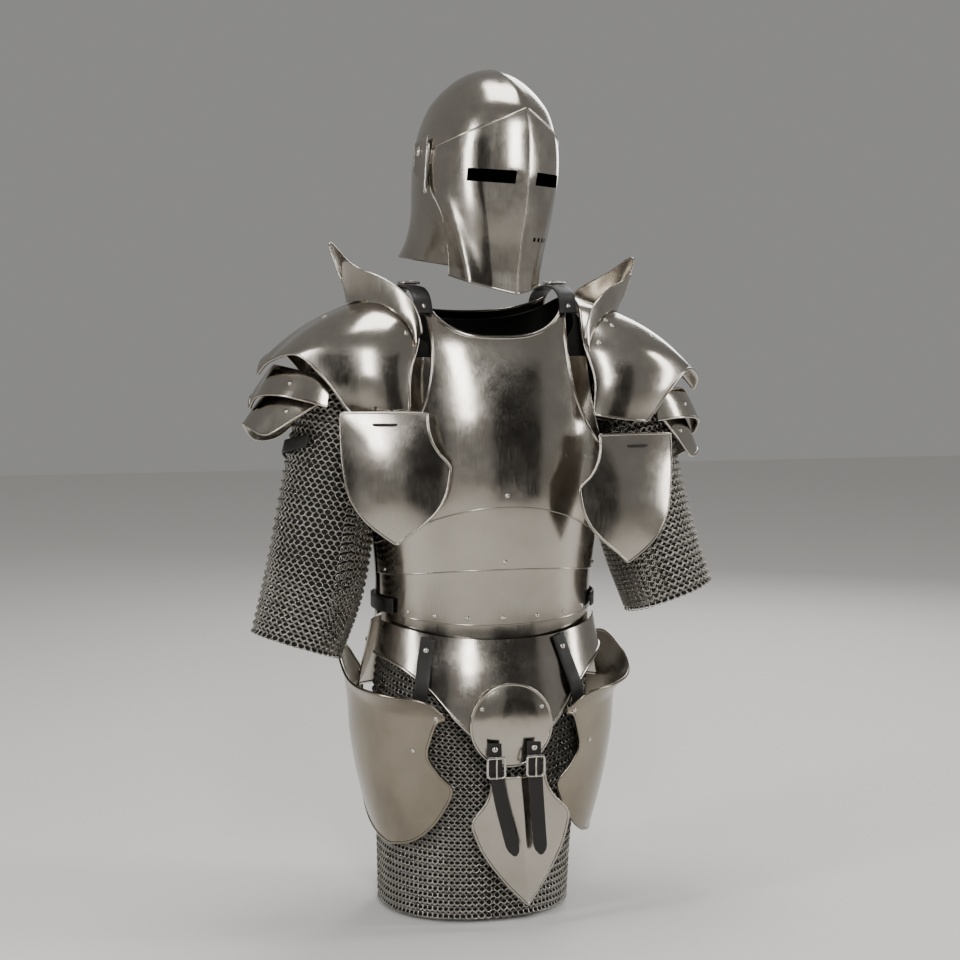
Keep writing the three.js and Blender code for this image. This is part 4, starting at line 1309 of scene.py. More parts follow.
@dataclass
class Tassets:
    """The two thigh plates, each with a flange along its top."""

    wardrobe: Wardrobe
    share: float = 0.28
    front: Table = Table(
        "z angle",
        ((-556, 25), (-574, 29.5), (-604, 33.5), (-632, 28.5), (-652, 23))
        + ((-684, 28), (-712, 37), (-732, 50), (-741, 66)),
    )
    back: Table = Table(
        "z angle", ((-556, 128), (-604, 124), (-652, 117), (-684, 108), (-712, 97), (-732, 84), (-741, 70))
    )
    flange: Table = Table(
        "angle z lean",
        (
            (25, -551, 2),
            (32, -531, 10),
            (48, -524, 17),
            (68, -516, 17),
            (86, -494, 8),
            (102, -479, 2),
            (117, -490, 2),
            (128, -520, 3),
        ),
    )
    hangs: tuple = ((0, 0), (-6, 2))
    straps: tuple = ((101, 118), (76, 101))

    def plate(self, name: str, sign: int, hang: tuple) -> Plate:
        """One tasset's sheet."""
        fore, aft = self.front.column("z", "angle"), self.back.column("z", "angle")
        top, lean = self.flange.column("angle", "z"), self.flange.column("angle", "lean")

        def crease(angle: Array) -> Array:
            return -556 + 22 * smooth(angle, 35, 100)

        def form(s: Array, t: Array) -> Array:
            s, t = np.broadcast_arrays(np.asarray(s, float), np.asarray(t, float))
            angle = mix(25.0, 128.0, s)
            up = np.clip(1 - t / self.share, 0, 1)
            z = mix(crease(angle), np.maximum(top(angle), crease(angle) + 4), up)
            flange = THIGH.at(sign * angle, z)
            out = flange * np.array([1, 1, 0])
            out = out / np.linalg.norm(out, axis=-1, keepdims=True)
            flange = flange + out * (lean(angle) * up**1.6)[..., None]
            down = np.clip((t - self.share) / (1 - self.share), 0, 1)
            z = mix(-556.0, -741.0, down)
            turn = mix(fore(z), aft(z), s)
            level = mix(crease(angle), z, smooth(down, 0, 0.2))
            body = THIGH.at(sign * turn, np.where(down < 0.2, np.maximum(level, z), z))
            return np.where((t < self.share)[..., None], flange, body)

        place = placed((hang[0], 0, hang[1]))
        return Plate(f"tasset_{name}", moved(form, place), 56, 64, apply(place, np.array([0, 0, -600.0])))

    def build(self) -> list[bpy.types.Object]:
        """Makes both tassets and the leather that each hangs on."""
        made = []
        for (name, sign), hang, (top, foot) in zip(SIDES, self.hangs, self.straps):
            plate = self.plate(name, sign, hang)
            roll = tube("tasset_roll", plate.rim(90), 2.2, True, 4)
            # The tassets take the warmer, darker copy of the steel: a painted reflection of warm surroundings.
            piece = make_plate(self.wardrobe, plate, [roll], self.wardrobe.warm)
            made.append(dress(piece, Slot.STEEL, Body.SUIT, plate.name))
            spots = ((0.035, 0.25), (0.07, 0.45), (0.9, 0.3))
            made.append(heads(self.wardrobe, f"tasset_rivets_{name}", plate, spots))
            line = []
            for down in (0, 0.25, 0.5, 0.75, 1):
                out = mix(top, foot, min(1.5 * down, 1))
                z = np.array(mix(-452.0, -574.0, down))
                seat = HIPS.at(HIPS.angle_out(out, z), z)
                inside = THIGH.at(THIGH.angle_out(out, z), z)[1] + 9
                y = mix(seat[1] - LAP - SHEET - 3.2, inside, float(smooth(down, 0.25, 0.75)))
                line.append((sign * out, y, float(z)))
            across = [(1, sign * 0.5, sign * 0.28)] * 5
            strap = Strap(f"tasset_strap_{name}", line, across, 20, np.array([0, 0, -480.0]))
            made.append(dress(strap.build(self.wardrobe), Slot.LEATHER, Body.SUIT, strap.name))
            made.append(heads(self.wardrobe, f"hanger_rivet_{name}", strap.plate(), ((0.5, 0.13),), 4.2))
        return made


# ---- shoulders ------------------------------------------------------------------------------------


@dataclass(frozen=True)
class Droop:
    """How one shoulder hangs: outward shift, height, and the droop of the cap and its lames."""

    x: float
    z: float
    cap: float
    lames: float


@dataclass
class Shoulders:
    """Shell pauldrons with a spiked fin and two arm lames each."""

    wardrobe: Wardrobe
    heart: tuple = (190.0, 0.0, -130.0)
    back_share: float = 0.86
    cap: Table = Table(
        "at inO inY inZ outO outY outZ rise",
        (
            (0, 120, 0, 18, 312, 0, -94, 26),
            (0.25, 114, -56, 2, 300, -40, -75, 26),
            (0.5, 112, -98, -42, 270, -80, -66, 24),
            (0.75, 127, -117, -90, 238, -104, -96, 18),
            (1, 130, -122, -138, 206, -116, -141, 8),
        ),
    )
    fin: Table = Table(
        "step round across rise lean",
        tuple(
            (i / 11, *row)
            for i, row in enumerate(
                (
                    (-0.58, 0.03, 17, -8),
                    (-0.46, 0.1, 28, -6),
                    (-0.36, 0.17, 31, -3),
                    (-0.26, 0.23, 34, 2),
                    (-0.16, 0.29, 41, 9),
                    (-0.06, 0.33, 53, 16),
                    (0.02, 0.35, 26, 8),
                    (0.1, 0.36, 81, 24),
                    (0.2, 0.29, 54, 13),
                    (0.32, 0.2, 38, 4),
                    (0.44, 0.12, 30, -2),
                    (0.56, 0.04, 17, -8),
                )
            )
        ),
    )
    lame_rows: Table = Table(
        "turn upper lower",
        (
            (14, -134, -126),
            (32, -124, -150),
            (54, -119, -172),
            (74, -124, -164),
            (90, -140, -160),
            (106, -126, -168),
            (126, -122, -186),
            (148, -128, -182),
            (166, -138, -152),
        ),
    )
    lames: tuple = (("upper", -82, 84, 84, 117, 98), ("lower", -112, 86, 79, 126, 88))
    hangs: tuple = (Droop(0, -6, 0, 0), Droop(5, -14, 5.5, 7))

    def cap_point(self, sign: int, across: Array, round_: Array) -> Array:
        """A point of the cap: across from the neck to the arm, round from the front foot to the back's."""
        read = {key: self.cap.column("at", key) for key in self.cap.names.split()[1:]}
        at = np.abs(round_)
        behind = np.where(np.asarray(round_) > 0, -self.back_share, 1.0)
        inner = points(read["inO"](at), read["inY"](at) * behind, read["inZ"](at))
        outer = points(read["outO"](at), read["outY"](at) * behind, read["outZ"](at))
        where = mix(inner, outer, np.asarray(across, float)[..., None])
        up = where - np.array(self.heart)
        up = up / np.linalg.norm(up, axis=-1, keepdims=True)
        bulge = read["rise"](at) * 4 * across * (1 - across) * (1 - 0.25 * across)
        where = where + up * np.asarray(bulge)[..., None]
        return where * np.array([sign, 1, 1])

    def build_side(self, name: str, sign: int, hang: Droop) -> list[bpy.types.Object]:
        """Makes one shoulder.

        Args:
            name: right or left.
            sign: -1 or 1.
            hang: How it hangs.

        Returns:
            Its finished pieces.
        """
        group = placed((sign * (110 + hang.x), 0, -50 + hang.z), (0, sign * hang.cap, 0))
        local = placed((-sign * 110, 0, 50))
        arm = group @ placed((sign * 80, 0, -40), (0, sign * hang.lames, 0))
        inside = apply(group, np.array([sign * (self.heart[0] - 110), 0, self.heart[2] + 50]))
        cap = Plate(
            f"pauldron_{name}",
            moved(lambda s, t: self.cap_point(sign, s, 2 * np.asarray(t) - 1), group @ local),
            40,
            100,
            inside,
        )
        made = [
            dress(
                make_plate(self.wardrobe, cap, [tube("cap_roll", cap.rim(90), 2.2, True, 4)]),
                Slot.STEEL,
                Body.SUIT,
                cap.name,
            )
        ]
        right_spots = ((0.14, 0.25), (0.53, 0.45), (0.1, 0.33))
        left_spots = ((0.21, 0.33), (0.26, 0.31), (0.14, 0.24), (0.55, 0.33))
        spots = right_spots if sign < 0 else left_spots
        made.append(heads(self.wardrobe, f"pauldron_rivets_{name}", cap, spots, 3.6))
        read = {key: self.fin.column("step", key) for key in self.fin.names.split()[1:]}

        def fin_form(s: Array, t: Array) -> Array:
            base = self.cap_point(sign, read["across"](s), read["round"](s))
            up = base - np.array([sign * self.heart[0], 0, self.heart[2]])
            up = up / np.linalg.norm(up, axis=-1, keepdims=True)
            lean = sign * read["lean"](s) * np.asarray(t) ** 1.5
            return base + up * 3.4 + points(lean, 0 * lean, read["rise"](s) * t)

        away = apply(group, np.array([0, 0, 20.0]))
        fin = Plate(f"haute_piece_{name}", moved(fin_form, group @ local), 99, 10, away)
        crest = tube("crest", fin.edge("bottom", count=160), 1.3, False, 2.5)
        made.append(dress(make_plate(self.wardrobe, fin, [crest]), Slot.STEEL, Body.SUIT, fin.name))
        for label, top, inner_o, inner_y, outer_o, outer_y in self.lames:
            edge_of = self.lame_rows.column("turn", label)

            def form(s: Array, t: Array) -> Array:
                turn = mix(14.0, 166.0, np.asarray(s))
                around = np.radians(turn)
                reach_o = mix(inner_o, outer_o, np.asarray(t) ** 0.8)
                reach_y = mix(inner_y, outer_y, np.asarray(t) ** 0.8)
                high = top - 26 * (1 - np.sin(around) ** 0.7)
                edge = edge_of(turn)
                z = mix(np.maximum(high, edge + 10), edge, t)
                return points(sign * (16 + reach_o * np.sin(around)), -reach_y * np.cos(around), z + 90)

            away = apply(arm, np.array([0, 0, -70.0]))
            lame = Plate(f"arm_lame_{label}_{name}", moved(form, arm), 64, 16, away)
            roll = tube("lame_roll", lame.edge("bottom", count=120), 1.9, step=4)
            piece = make_plate(self.wardrobe, lame, [roll])
            made.append(dress(piece, Slot.STEEL, Body.SUIT, lame.name))
            made.append(heads(self.wardrobe, f"lame_rivets_{label}_{name}", lame, ((0.2, 0.5), (0.8, 0.5)), 3.4))
        return made

    def build(self) -> list[bpy.types.Object]:
        """Makes both shoulders."""
        return [
            piece for (name, sign), hang in zip(SIDES, self.hangs) for piece in self.build_side(name, sign, hang)
        ]


@dataclass
class Besagews:
    """The shields that hang over the armpits on a lace."""

    wardrobe: Wardrobe
    outline: Table = Table(
        "drop arm chest",
        (
            (0, 57, 56),
            (20, 57, 57),
            (38, 56.5, 62),
            (54, 55.5, 72),
            (69, 54, 86),
            (88, 51, 85),
            (108, 46, 80),
            (128, 35, 68),
            (146, 19, 49),
            (160, 1, 30),
            (171, -15.5, 17),
        ),
    )
    hangs: tuple = ((-166, -139, -147, -4, 4, 1), (176, -140, -180, 14, 4, -0.5))

    def build(self) -> list[bpy.types.Object]:
        """Makes both shields and their laces."""
        made = []
        to_arm, to_chest = self.outline.column("drop", "arm"), self.outline.column("drop", "chest")
        for (name, sign), (x, y, z, face, tilt, roll) in zip(SIDES, self.hangs):
            place = placed((x, y, z), (-tilt, roll, face))

            def form(s: Array, t: Array) -> Array:
                drop = 171 * np.asarray(t)
                out = mix(to_arm(drop), -to_chest(drop), s)
                bow = np.maximum(1 - ((out + 12) / 74) ** 2, 0) * np.maximum(1 - ((drop - 82) / 96) ** 2, 0)
                return points(sign * out, -13 * bow, -drop)

            plate = Plate(f"besagew_{name}", moved(form, place), 44, 48, apply(place, np.array([0, 300.0, -80])))
            piece = make_plate(self.wardrobe, plate, [tube("besagew_roll", plate.rim(90), 2.0, True, 4)])
            made.append(dress(piece, Slot.STEEL, Body.SUIT, plate.name))
            h, lie = 15.0, float(form(np.array(0.5), np.array(15 / 171))[1]) - SHEET - 2.2
            route = [
                (-h + 5, 9, 8),
                (-h + 2, 7, -4),
                (-h, 4, -14.4),
                (-h, lie + 2.6, -15),
                (-h + 2.6, lie, -15),
                (0, lie - 0.6, -15),
                (h - 2.6, lie, -15),
                (h, lie + 2.6, -15),
                (h, 4, -14.4),
                (h - 2, 7, -4),
                (h - 5, 9, 8),
            ]
            path = apply(place, Spline(route).at(np.linspace(0, 1, 80)))
            lace = tube(f"lace_{name}", path, 1.7, step=1.5)
            self.wardrobe.put(lace, self.wardrobe.leather)
            made.append(dress(lace, Slot.LEATHER, Body.SUIT, f"lace_{name}"))
        return made


# ---- mail -----------------------------------------------------------------------------------------


# Where the rings lie along a form, first and last, and in how many rows.
SKIRT_ROWS = (0.53, 0.996, 78)
SLEEVE_ROWS = (0.05, 0.99, 78)
# A ring's radius and its wire's, in mm.
SKIRT_RING = (4.3, 0.72)
SLEEVE_RING = (4.9, 0.85)


@dataclass
class MailShirt:
    """The mail shirt: a body and two sleeves."""

    wardrobe: Wardrobe
    hem: float = -838.0
    seam: float = MAIL + 3
    sleeves: tuple = (
        Table(
            "step x y z radius",
            (
                (0.0, -150, 2, -62, 54),
                (0.2, -182, 0, -104, 60),
                (0.4, -200, -4, -180, 62),
                (0.6, -220, -8, -280, 62),
                (0.8, -240, -12, -385, 63),
                (1.0, -266, -16, -468, 58),
            ),
        ),
        Table(
            "step x y z radius",
            (
                (0.0, 150, 2, -66, 54),
                (0.2, 182, -1, -108, 60),
                (0.4, 202, -7, -180, 62),
                (0.6, 220, -13, -262, 62),
                (0.8, 240, -20, -340, 61),
                (1.0, 266, -27, -416, 59),
            ),
        ),
    )

    def top(self, angle: Array) -> Array:
        """Height of the shirt's neck edge."""
        c = np.cos(np.radians(angle))
        return 2 - 82 * np.maximum(c, 0) ** 1.5 - 30 * np.maximum(-c, 0) ** 2

    def body_form(self, s: Array, t: Array) -> Array:
        """The shirt's body."""
        angle = 360 * np.asarray(s, float)
        return SHIRT.at(angle, mix(self.top(angle), self.hem, t))

    def tube_form(self, rows: Table, grow: float = 0.0) -> Form:
        """A sleeve's tube, over its whole length from inside the body.

        Args:
            rows: The sleeve's sections.
            grow: How far to stand off it.

        Returns:
            The form.
        """
        spine = Spline([row[1:4] for row in rows.rows])
        radius = rows.column("step", "radius")

        def form(s: Array, t: Array) -> Array:
            s, t = np.broadcast_arrays(np.asarray(s, float), np.asarray(t, float))
            forward = spine.tangent(t)
            fore = np.array([0.0, -1.0, 0.0]) + forward * forward[..., 1:2]
            fore = fore / np.linalg.norm(fore, axis=-1, keepdims=True)
            side = np.cross(forward, fore)
            side = side / np.linalg.norm(side, axis=-1, keepdims=True)
            turn, reach = 2 * np.pi * s[..., None], (radius(t) + grow)[..., None]
            where = spine.at(t) + fore * np.cos(turn) * reach + side * np.sin(turn) * reach
            clear = mix(90.0, TORSO.size("side", where[..., 2]) + 4 * LAP + SHEET, smooth(-where[..., 2], 110, 172))
            where[..., 0] = np.sign(where[..., 0]) * np.maximum(np.abs(where[..., 0]), clear)
            return where

        return form

    def leaves(self, form: Form, s: Array) -> Array:
        """Where along a sleeve each line round it leaves the shirt's body."""

        def within(where: Array) -> Array:
            z = where[..., 2]
            reach = np.where(where[..., 1] < 0, SHIRT.size("front", z), SHIRT.size("back", z)) + self.seam
            side = SHIRT.size("side", z) + self.seam
            return (np.abs(where[..., 0]) / side) ** SQUARENESS + (np.abs(where[..., 1]) / reach) ** SQUARENESS < 1

        s = np.asarray(s, float)
        low, high = np.zeros_like(s), np.full_like(s, 0.6)
        starts = within(form(s, low))
        for _ in range(20):
            middle = (low + high) / 2
            inside = within(form(s, middle))
            low, high = np.where(inside, middle, low), np.where(inside, high, middle)
        return np.where(starts, high, 0)

    def sleeve(self, name: str, rows: Table) -> Plate:
        """A sleeve's sheet, from where it leaves the body."""
        tube_at = self.tube_form(rows)

        def form(s: Array, t: Array) -> Array:
            return tube_at(s, mix(self.leaves(tube_at, s), 1.0, t))

        def away(s: Array, t: Array) -> Array:
            along = mix(self.leaves(tube_at, s), 1.0, t)
            return (tube_at(s, along) + tube_at(s + 0.5, along)) / 2

        return Plate(f"mail_sleeve_{name}", form, 56, 32, away, 0.0, MAIL, True)

    def shell(
        self, plate: Plate
    ) -> bpy.types.Object:
        """A dark sheet behind the rings: a black backing, which also paints the shade in the depth of the mail."""
        item = plate.build()
        soften(item, 40)
        # The dark sheet paints the shade in the depth of the mail as well as a black backing.
        self.wardrobe.put(item, self.wardrobe.depth)
        piece = dress(item, Slot.MAIL, Body.SUIT, plate.name)
        return piece

    def rings(
        self, name: str, plate: Plate, columns: int, turns: tuple, rows: tuple, ring: tuple
    ) -> bpy.types.Object:
        """Round rings over a shell, each row leaning against the next as in four-in-one mail.

        Args:
            name: The piece's name.
            plate: The shell.
            columns: Rings all the way round.
            turns: The first and last column.
            rows: The first and last share along it, and the count of rows.
            ring: The radius of the ring and of its wire in mm.

        Returns:
            The rings as one piece.
        """
        deselect()
        radius, wire = ring
        bpy.ops.mesh.primitive_torus_add(
            major_radius=radius * MM, minor_radius=wire * MM, major_segments=7, minor_segments=3
        )
        template = bpy.context.object
        soften(template, 80)
        first, last, count = rows
        row, place = np.meshgrid(np.arange(count), np.arange(*turns), indexing="ij")
        row, place = row.ravel(), place.ravel()
        s = ((place + 0.5 * (row % 2)) / columns) % 1.0
        t = mix(first, last, row / (count - 1))
        where = plate.face(s, t, 1.6)
        out = normals(plate.form, s, t, plate.heart(s, t), True)
        down = plate.form(s, np.minimum(t + 1e-3, 1)) - plate.form(s, np.maximum(t - 1e-3, 0))
        down = down / np.linalg.norm(down, axis=-1, keepdims=True)
        lean = np.radians(np.where(row % 2 == 0, 27.0, -27.0))[:, None]
        up = out * np.cos(lean) + down * np.sin(lean)
        side = np.cross(down, up)
        side = side / np.linalg.norm(side, axis=-1, keepdims=True)
        frames = np.tile(np.eye(4), (len(s), 1, 1))
        frames[:, :3, 0], frames[:, :3, 1], frames[:, :3, 2] = side, np.cross(up, side), up
        frames[:, :3, 3] = where * MM
        made = scatter(name, template, frames)
        self.wardrobe.put(made, self.wardrobe.wire)
        return dress(made, Slot.MAIL, Body.SUIT)

    def build(self) -> list[bpy.types.Object]:
        """Makes the shirt's body and sleeves."""
        body = Plate("mail_body", self.body_form, 96, 56, np.array([0, 0, -400.0]), 0.0, MAIL, True)
        skirt = [
            self.rings(f"skirt_rings_{i}", body, 104, (26 * i, 26 * i + 26), SKIRT_ROWS, SKIRT_RING)
            for i in range(4)
        ]
        made = [self.shell(body), *skirt]
        for (name, _), rows, area in zip(SIDES, self.sleeves, (0.16, 0.14)):
            sleeve = self.sleeve(name, rows)
            rings = self.rings(f"sleeve_rings_{name}", sleeve, 42, (0, 42), SLEEVE_ROWS, SLEEVE_RING)
            made += [self.shell(sleeve), rings]
        for (name, sign), rows in zip(SIDES, self.sleeves):
            path = ((0.12, 0.44, 9), (0.2, 0.46, 7.5), (0.28, 0.47, 6.5), (0.38, 0.49, 6), (0.5, 0.5, 6))
            line = [
                self.tube_form(rows, MAIL + off)(np.array(turn if sign < 0 else 1 - turn), np.array(along))
                for turn, along, off in path
            ]
            heart = self.tube_form(rows, -40)(np.array(0.0), np.array(0.44))
            strap = Strap(f"arm_strap_{name}", line, [(sign * 0.25, 0, -1)] * 5, 18, heart)
            made.append(dress(strap.build(self.wardrobe), Slot.LEATHER, Body.SUIT, strap.name))
        return made


# ---- helmet ---------------------------------------------------------------------------------------


@dataclass
class Helmet:
    """The visored helmet: skull, visor, side arms with their hinge pins and pivot rivets."""

    wardrobe: Wardrobe
    place: Array = field(default_factory=lambda: placed((0, -6, 173), (3, 2.8, 13), True))
    table: Table = Table(
        "z face nape front back",
        (
            (140, 0, 0, 0, 0),
            (136, 16, 16, 23, 20),
            (127, 35, 35, 49, 46),
            (113, 52, 52, 74, 69),
            (98, 65, 65, 93, 87),
            (82, 75, 75, 107, 100),
            (56, 84, 84, 117, 111),
            (28, 89, 89, 122, 119),
            (0, 90, 90, 123, 123),
            (-32, 87, 89, 120, 123),
            (-64, 81, 88, 116, 121),
            (-98, 74, 92, 111, 129),
            (-130, 70, 102, 108, 150),
        ),
    )
    visor_edge: Table = Table("z angle", ((26, 79), (-26, 79), (-56, 70), (-96, 66), (-142, 64)))
    gap: float = 2.4
    ridge: float = 6.0
    pivot: tuple = (10.0, 22.0)

    def at(self, angle: Array, z: Array, grow: float = 0.0) -> Array:
        """A point of the skull's surface."""
        turn = np.abs((np.asarray(angle) + 540) % 360 - 180)
        read = {key: self.table.column("z", key)(z) for key in ("face", "nape", "front", "back")}
        half = mix(read["face"], read["nape"], smooth(turn, 70, 130))
        s, c = np.sin(np.radians(angle)), np.cos(np.radians(angle))
        reach = np.where(c > 0, read["front"], read["back"])
        return points((half + grow) * s, -(reach + grow) * c, z)

    def skull_form(self, s: Array, t: Array) -> Array:
        """The bowl, from its crown to its foot."""
        angle = 360 * np.asarray(s)
        foot = -124 - 6 * np.cos(np.radians(angle))
        z = 140 - (140 - foot) * (0.25 * t + 0.75 * np.asarray(t) ** 1.7)
        off_middle = np.minimum(angle % 180, 180 - angle % 180)
        comb = 3.0 * np.maximum(1 - off_middle / 14, 0) * smooth(z, 10, 70) * smooth(-z, -139, -125)
        return self.at(angle, np.minimum(z, 140), comb)

    def bowed(self, angle: Array, z: Array) -> Array:
        """The visor's round surface with its keel."""
        where = self.at(angle, z, self.gap)
        keel = self.ridge * np.maximum(1 - np.abs(angle) / 26, 0)
        chin = 5 * smooth(-z, -30, 60) * np.cos(np.radians(angle)) ** 2
        where[..., 1] -= keel + chin
        return where

    def visor_form(self, s: Array, t: Array) -> Array:
        """The visor, flat from its keel to a crease down each cheek."""
        side = 2 * np.asarray(s) - 1
        angle = side * self.visor_edge.column("z", "angle")(mix(26.0, -140.0, t))
        z = mix(mix(84.0, 26.0, np.abs(side) ** 1.05), mix(-158.0, -140.0, np.abs(side) ** 1.2), t)
        where = self.bowed(angle, z)
        crease = np.clip(35.5 + 0.0925 * (z + 21), 24, 37)
        share = np.abs(angle) / crease
        flat = mix(self.bowed(0 * angle, z), self.bowed(np.sign(side) * crease, z), share[..., None])
        firm = np.where(share < 1, mix(0.45, 1.0, smooth(-z, -3, 14)), 0.0)
        where = mix(where, flat, firm[..., None])
        swell = 2.6 * np.exp(-(((np.abs(angle) - (66 + 0.2 * (z + 31))) / 6) ** 2)) * smooth(-z, 10, 50)
        return where + points(np.sign(side) * swell * 0.8, -swell * 0.6, 0 * swell)

    def cut(self, item: bpy.types.Object, boxes: Sequence[tuple]) -> None:
        """Cuts boxes out of a piece.

        Args:
            item: The piece.
            boxes: The low and high corner of each, in the helmet's own mm.
        """
        for low, high in boxes:
            deselect()
            bpy.ops.mesh.primitive_cube_add(size=1)
            tool = bpy.context.object
            low, high = np.array(low, float), np.array(high, float)
            where = (coordinates(tool.data) + 0.5) * (high - low) + low
            move_to(tool.data, apply(self.place, where) * MM)
            modify(item, "BOOLEAN", object=tool, operation="DIFFERENCE", solver="EXACT")
            bpy.data.objects.remove(tool)

    def build(self) -> list[bpy.types.Object]:
        """Makes the helmet's pieces."""
        made = []
        middle = apply(self.place, np.array([0, 0, -20.0]))
        skull = Plate("helmet_skull", moved(self.skull_form, self.place), 96, 56, middle, wrapped=True)
        wall = skull.build()
        mark_inside(skull, wall)
        wall.data.materials.append(self.wardrobe.steel)
        # The inner faces take the dark steel of painted shade.
        wall.data.materials.append(self.wardrobe.inside)
        self.cut(wall, [((-62, -200, -220), (62, -60, 26)), ((-73, -200, -21), (73, -56, 8))])
        soften(wall, 24)
        rim = tube("skull_rim", skull.edge("bottom", 0.115, 0.885, 120), 1.7, False, 3)
        soften(rim, 60)
        self.wardrobe.put(rim, self.wardrobe.steel)
        wall = join("helmet_skull_plate", [wall, rim])
        made.append(dress(wall, Slot.STEEL, Body.SUIT, "helmet_skull"))
        behind = apply(self.place, np.array([0, 40, -20.0]))
        visor = Plate("visor", moved(self.visor_form, self.place), 80, 64, behind)
        wall = visor.build()
        mark_inside(visor, wall)
        wall.data.materials.append(self.wardrobe.steel)
        # The inner faces take the dark steel of painted shade.
        wall.data.materials.append(self.wardrobe.inside)
        self.cut(wall, [((sign * 41.5 - 26.5, -150, -15), (sign * 41.5 + 26.5, -70, 2)) for _, sign in SIDES])
        self.cut(wall, [((x - 2.4, -150, -88.6), (x + 2.4, -70, -83.4)) for x in (26, 35, 44, 53)])
        soften(wall, 24)
        edges = [
            tube("visor_brow", visor.edge("top", 0.03, 0.97, 100), 1.9, False, 3),
            tube("visor_keel", visor.face(0.5, np.linspace(0.01, 0.99, 90), -0.55), 1.0, False, 3),
            tube("visor_chin", visor.edge("bottom", 0, 1, 90), 1.7, False, 3),
            tube("visor_rear_a", visor.edge("start", 0, 1, 60), 1.2, False, 3),
            tube("visor_rear_b", visor.edge("end", 0, 1, 60), 1.2, False, 3),
        ]
        for edge in edges:
            soften(edge, 60)
            self.wardrobe.put(edge, self.wardrobe.steel)
        made.append(dress(join("visor_plate", [wall, *edges]), Slot.STEEL, Body.VISOR, "visor"))
        return made + self.hinges()

    def hinges(self) -> list[bpy.types.Object]:
        """The flat side arms, each on a temple rivet and a pinned hinge with loops."""
        made = []
        for name, sign in SIDES:

            def form(s: Array, t: Array) -> Array:
                z = self.pivot[1] + mix(20.0, -46.0, t) * mix(1.0, 0.55, s)
                return points(sign * 93.2 + 0 * z, mix(-13.0, 24.0, np.asarray(s)) + 0 * z, z)

            arm = Plate(f"visor_arm_{name}", moved(form, self.place), 10, 16, apply(self.place, np.zeros(3)))
            rim = tube("arm_rim", arm.rim(30), 1.0, True, 3)
            made.append(dress(make_plate(self.wardrobe, arm, [rim]), Slot.STEEL, Body.VISOR, arm.name))
            root = self.at(np.array(sign * 80.3), np.array(-6.0), self.gap + 4.4)
            x, y = root[0] + sign * 1.2, root[1]
            pin = [tube("pin", apply(self.place, np.array([(x, y, -30.0), (x, y, 28.0)])), 1.9, False, 4)]
            for low, high in ((-27, -14), (-11, 6), (9, 25)):
                line = np.array([(x, y, low), (x, y, high)], float)
                pin.append(tube("knuckle", apply(self.place, line), 3.1, False, 4))
            for z in (-30, 28):
                turn = np.linspace(0, 2 * np.pi, 17)[:-1]
                loop = points(x + 0 * turn, y + 3.4 * np.cos(turn), z + 3.4 * np.sin(turn))
                pin.append(tube("loop", apply(self.place, loop), 1.3, True, 1.2))
            for part in pin:
                soften(part, 50)
                self.wardrobe.put(part, self.wardrobe.bright)
            made.append(dress(join(f"hinge_{name}", pin), Slot.FITTINGS, Body.VISOR, f"hinge_pin_{name}"))
            seat = apply(self.place, np.array([sign * 95.1, *self.pivot]))
            head = rivets(f"pivot_head_{name}", [(seat, self.place[:3, 0] * sign)], 6.5)
            self.wardrobe.put(head, self.wardrobe.bright)
            made.append(dress(head, Slot.FITTINGS, Body.VISOR, f"pivot_rivet_{name}"))
        return made


# ---- studio ---------------------------------------------------------------------------------------


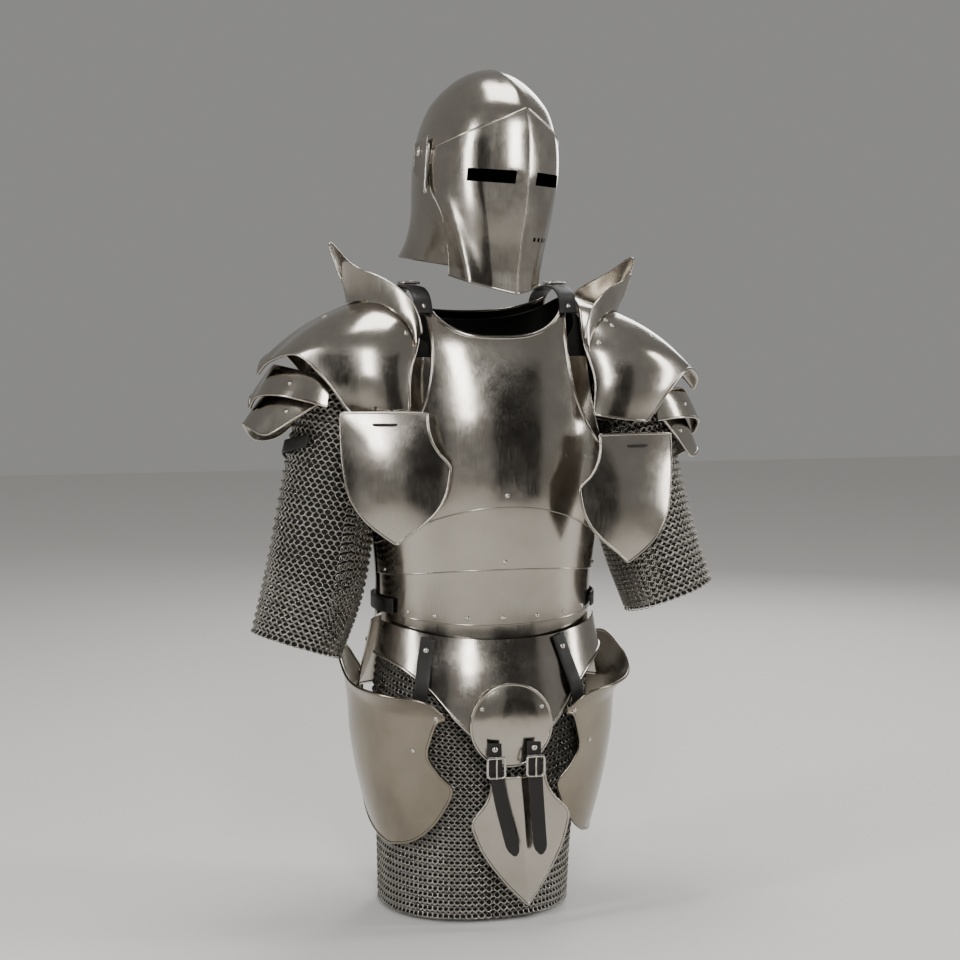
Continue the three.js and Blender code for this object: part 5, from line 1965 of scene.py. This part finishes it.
@dataclass
class Studio:
    """A pale floor and backdrop, soft lights, and the camera."""

    turn: float = -14.0
    fall: float = 5.3
    distance: float = 2.7
    shift: float = -0.00278
    lens: float = 72.75
    floor: float = -0.846

    def light(self, name: str, place: tuple, size: tuple, watts: float) -> None:
        """A soft rectangular light that faces the suit.

        Args:
            name: Its name.
            place: Its middle in metres.
            size: Its width and height in metres.
            watts: Its power.
        """
        lamp = bpy.data.lights.new(name, "AREA")
        lamp.shape = "RECTANGLE"
        lamp.size, lamp.size_y = size
        lamp.energy = watts
        item = bpy.data.objects.new(name, lamp)
        bpy.context.scene.collection.objects.link(item)
        item.location = place
        item.rotation_euler = (Vector((0, 0, -0.25)) - Vector(place)).to_track_quat("-Z", "Y").to_euler()

    def build(self) -> None:
        """Makes the floor, the lights and the camera."""
        deselect()
        bpy.ops.mesh.primitive_plane_add(size=14, location=(0, 0, self.floor))
        ground = bpy.context.object
        ground.name = "floor"
        paper = bpy.data.materials.new("studio_paper")
        paper.use_nodes = True
        paper.node_tree.nodes["Principled BSDF"].inputs["Base Color"].default_value = linear("#eceae6")
        paper.node_tree.nodes["Principled BSDF"].inputs["Roughness"].default_value = 0.9
        ground.data.materials.append(paper)
        self.light("front", (-0.45, -2.9, 1.3), (0.5, 1.7), 42)
        self.light("left_strip", (-2.3, -0.9, 0.6), (0.35, 2.0), 26)
        self.light("right_strip", (2.3, -0.6, 0.5), (0.35, 2.0), 24)
        self.light("top", (0.1, 0.3, 2.4), (1.1, 1.1), 34)
        self.light("rim", (1.3, 2.2, 1.0), (0.8, 1.6), 24)
        black = bpy.data.materials.new("black_studio_card")
        black.use_nodes = True
        black.node_tree.nodes["Principled BSDF"].inputs["Base Color"].default_value = linear("#0a0a0a")
        for name, x, y, turn in (("card_left", -1.75, -2.0, 40), ("card_right", 0.95, -2.45, -22)):
            deselect()
            bpy.ops.mesh.primitive_plane_add(size=1)
            card = bpy.context.object
            card.name = name
            turned = Euler((math.radians(90), 0, math.radians(-turn))).to_matrix().to_4x4()
            upright = Matrix.Translation((x, y, 0.1)) @ turned
            card.data.transform(upright @ Matrix.Diagonal((1.3, 2.6, 1, 1)))
            card.data.materials.append(black)
            card.visible_camera = False
        world = bpy.data.worlds.new("studio")
        world.use_nodes = True
        world.node_tree.nodes["Background"].inputs["Color"].default_value = linear("#f1f0ee")
        world.node_tree.nodes["Background"].inputs["Strength"].default_value = 0.3
        bpy.context.scene.world = world
        camera = bpy.data.cameras.new("camera")
        camera.lens = self.lens
        camera.sensor_width = 36
        item = bpy.data.objects.new("camera", camera)
        bpy.context.scene.collection.objects.link(item)
        a = math.radians(self.turn)
        ahead, right = Vector((-math.sin(a), math.cos(a), 0)), Vector((math.cos(a), math.sin(a), 0))
        item.location = -ahead * self.distance + right * self.shift
        item.rotation_euler = (math.radians(90 - self.fall), 0, a)
        bpy.context.scene.camera = item


def main() -> None:
    """Builds the suit and its studio, and reports each piece."""
    logging.basicConfig(level=logging.INFO, format="%(name)s %(message)s")
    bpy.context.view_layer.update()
    wardrobe = Wardrobe()
    for part in (Cuirass, Harness, CodPlates, Tassets, Shoulders, Besagews, MailShirt, Helmet):
        pieces = part(wardrobe).build()
        LOG.info("%s made %d pieces", part.__name__, len(pieces))
    Studio().build()
    deselect()


if __name__ == "__main__":
    main()
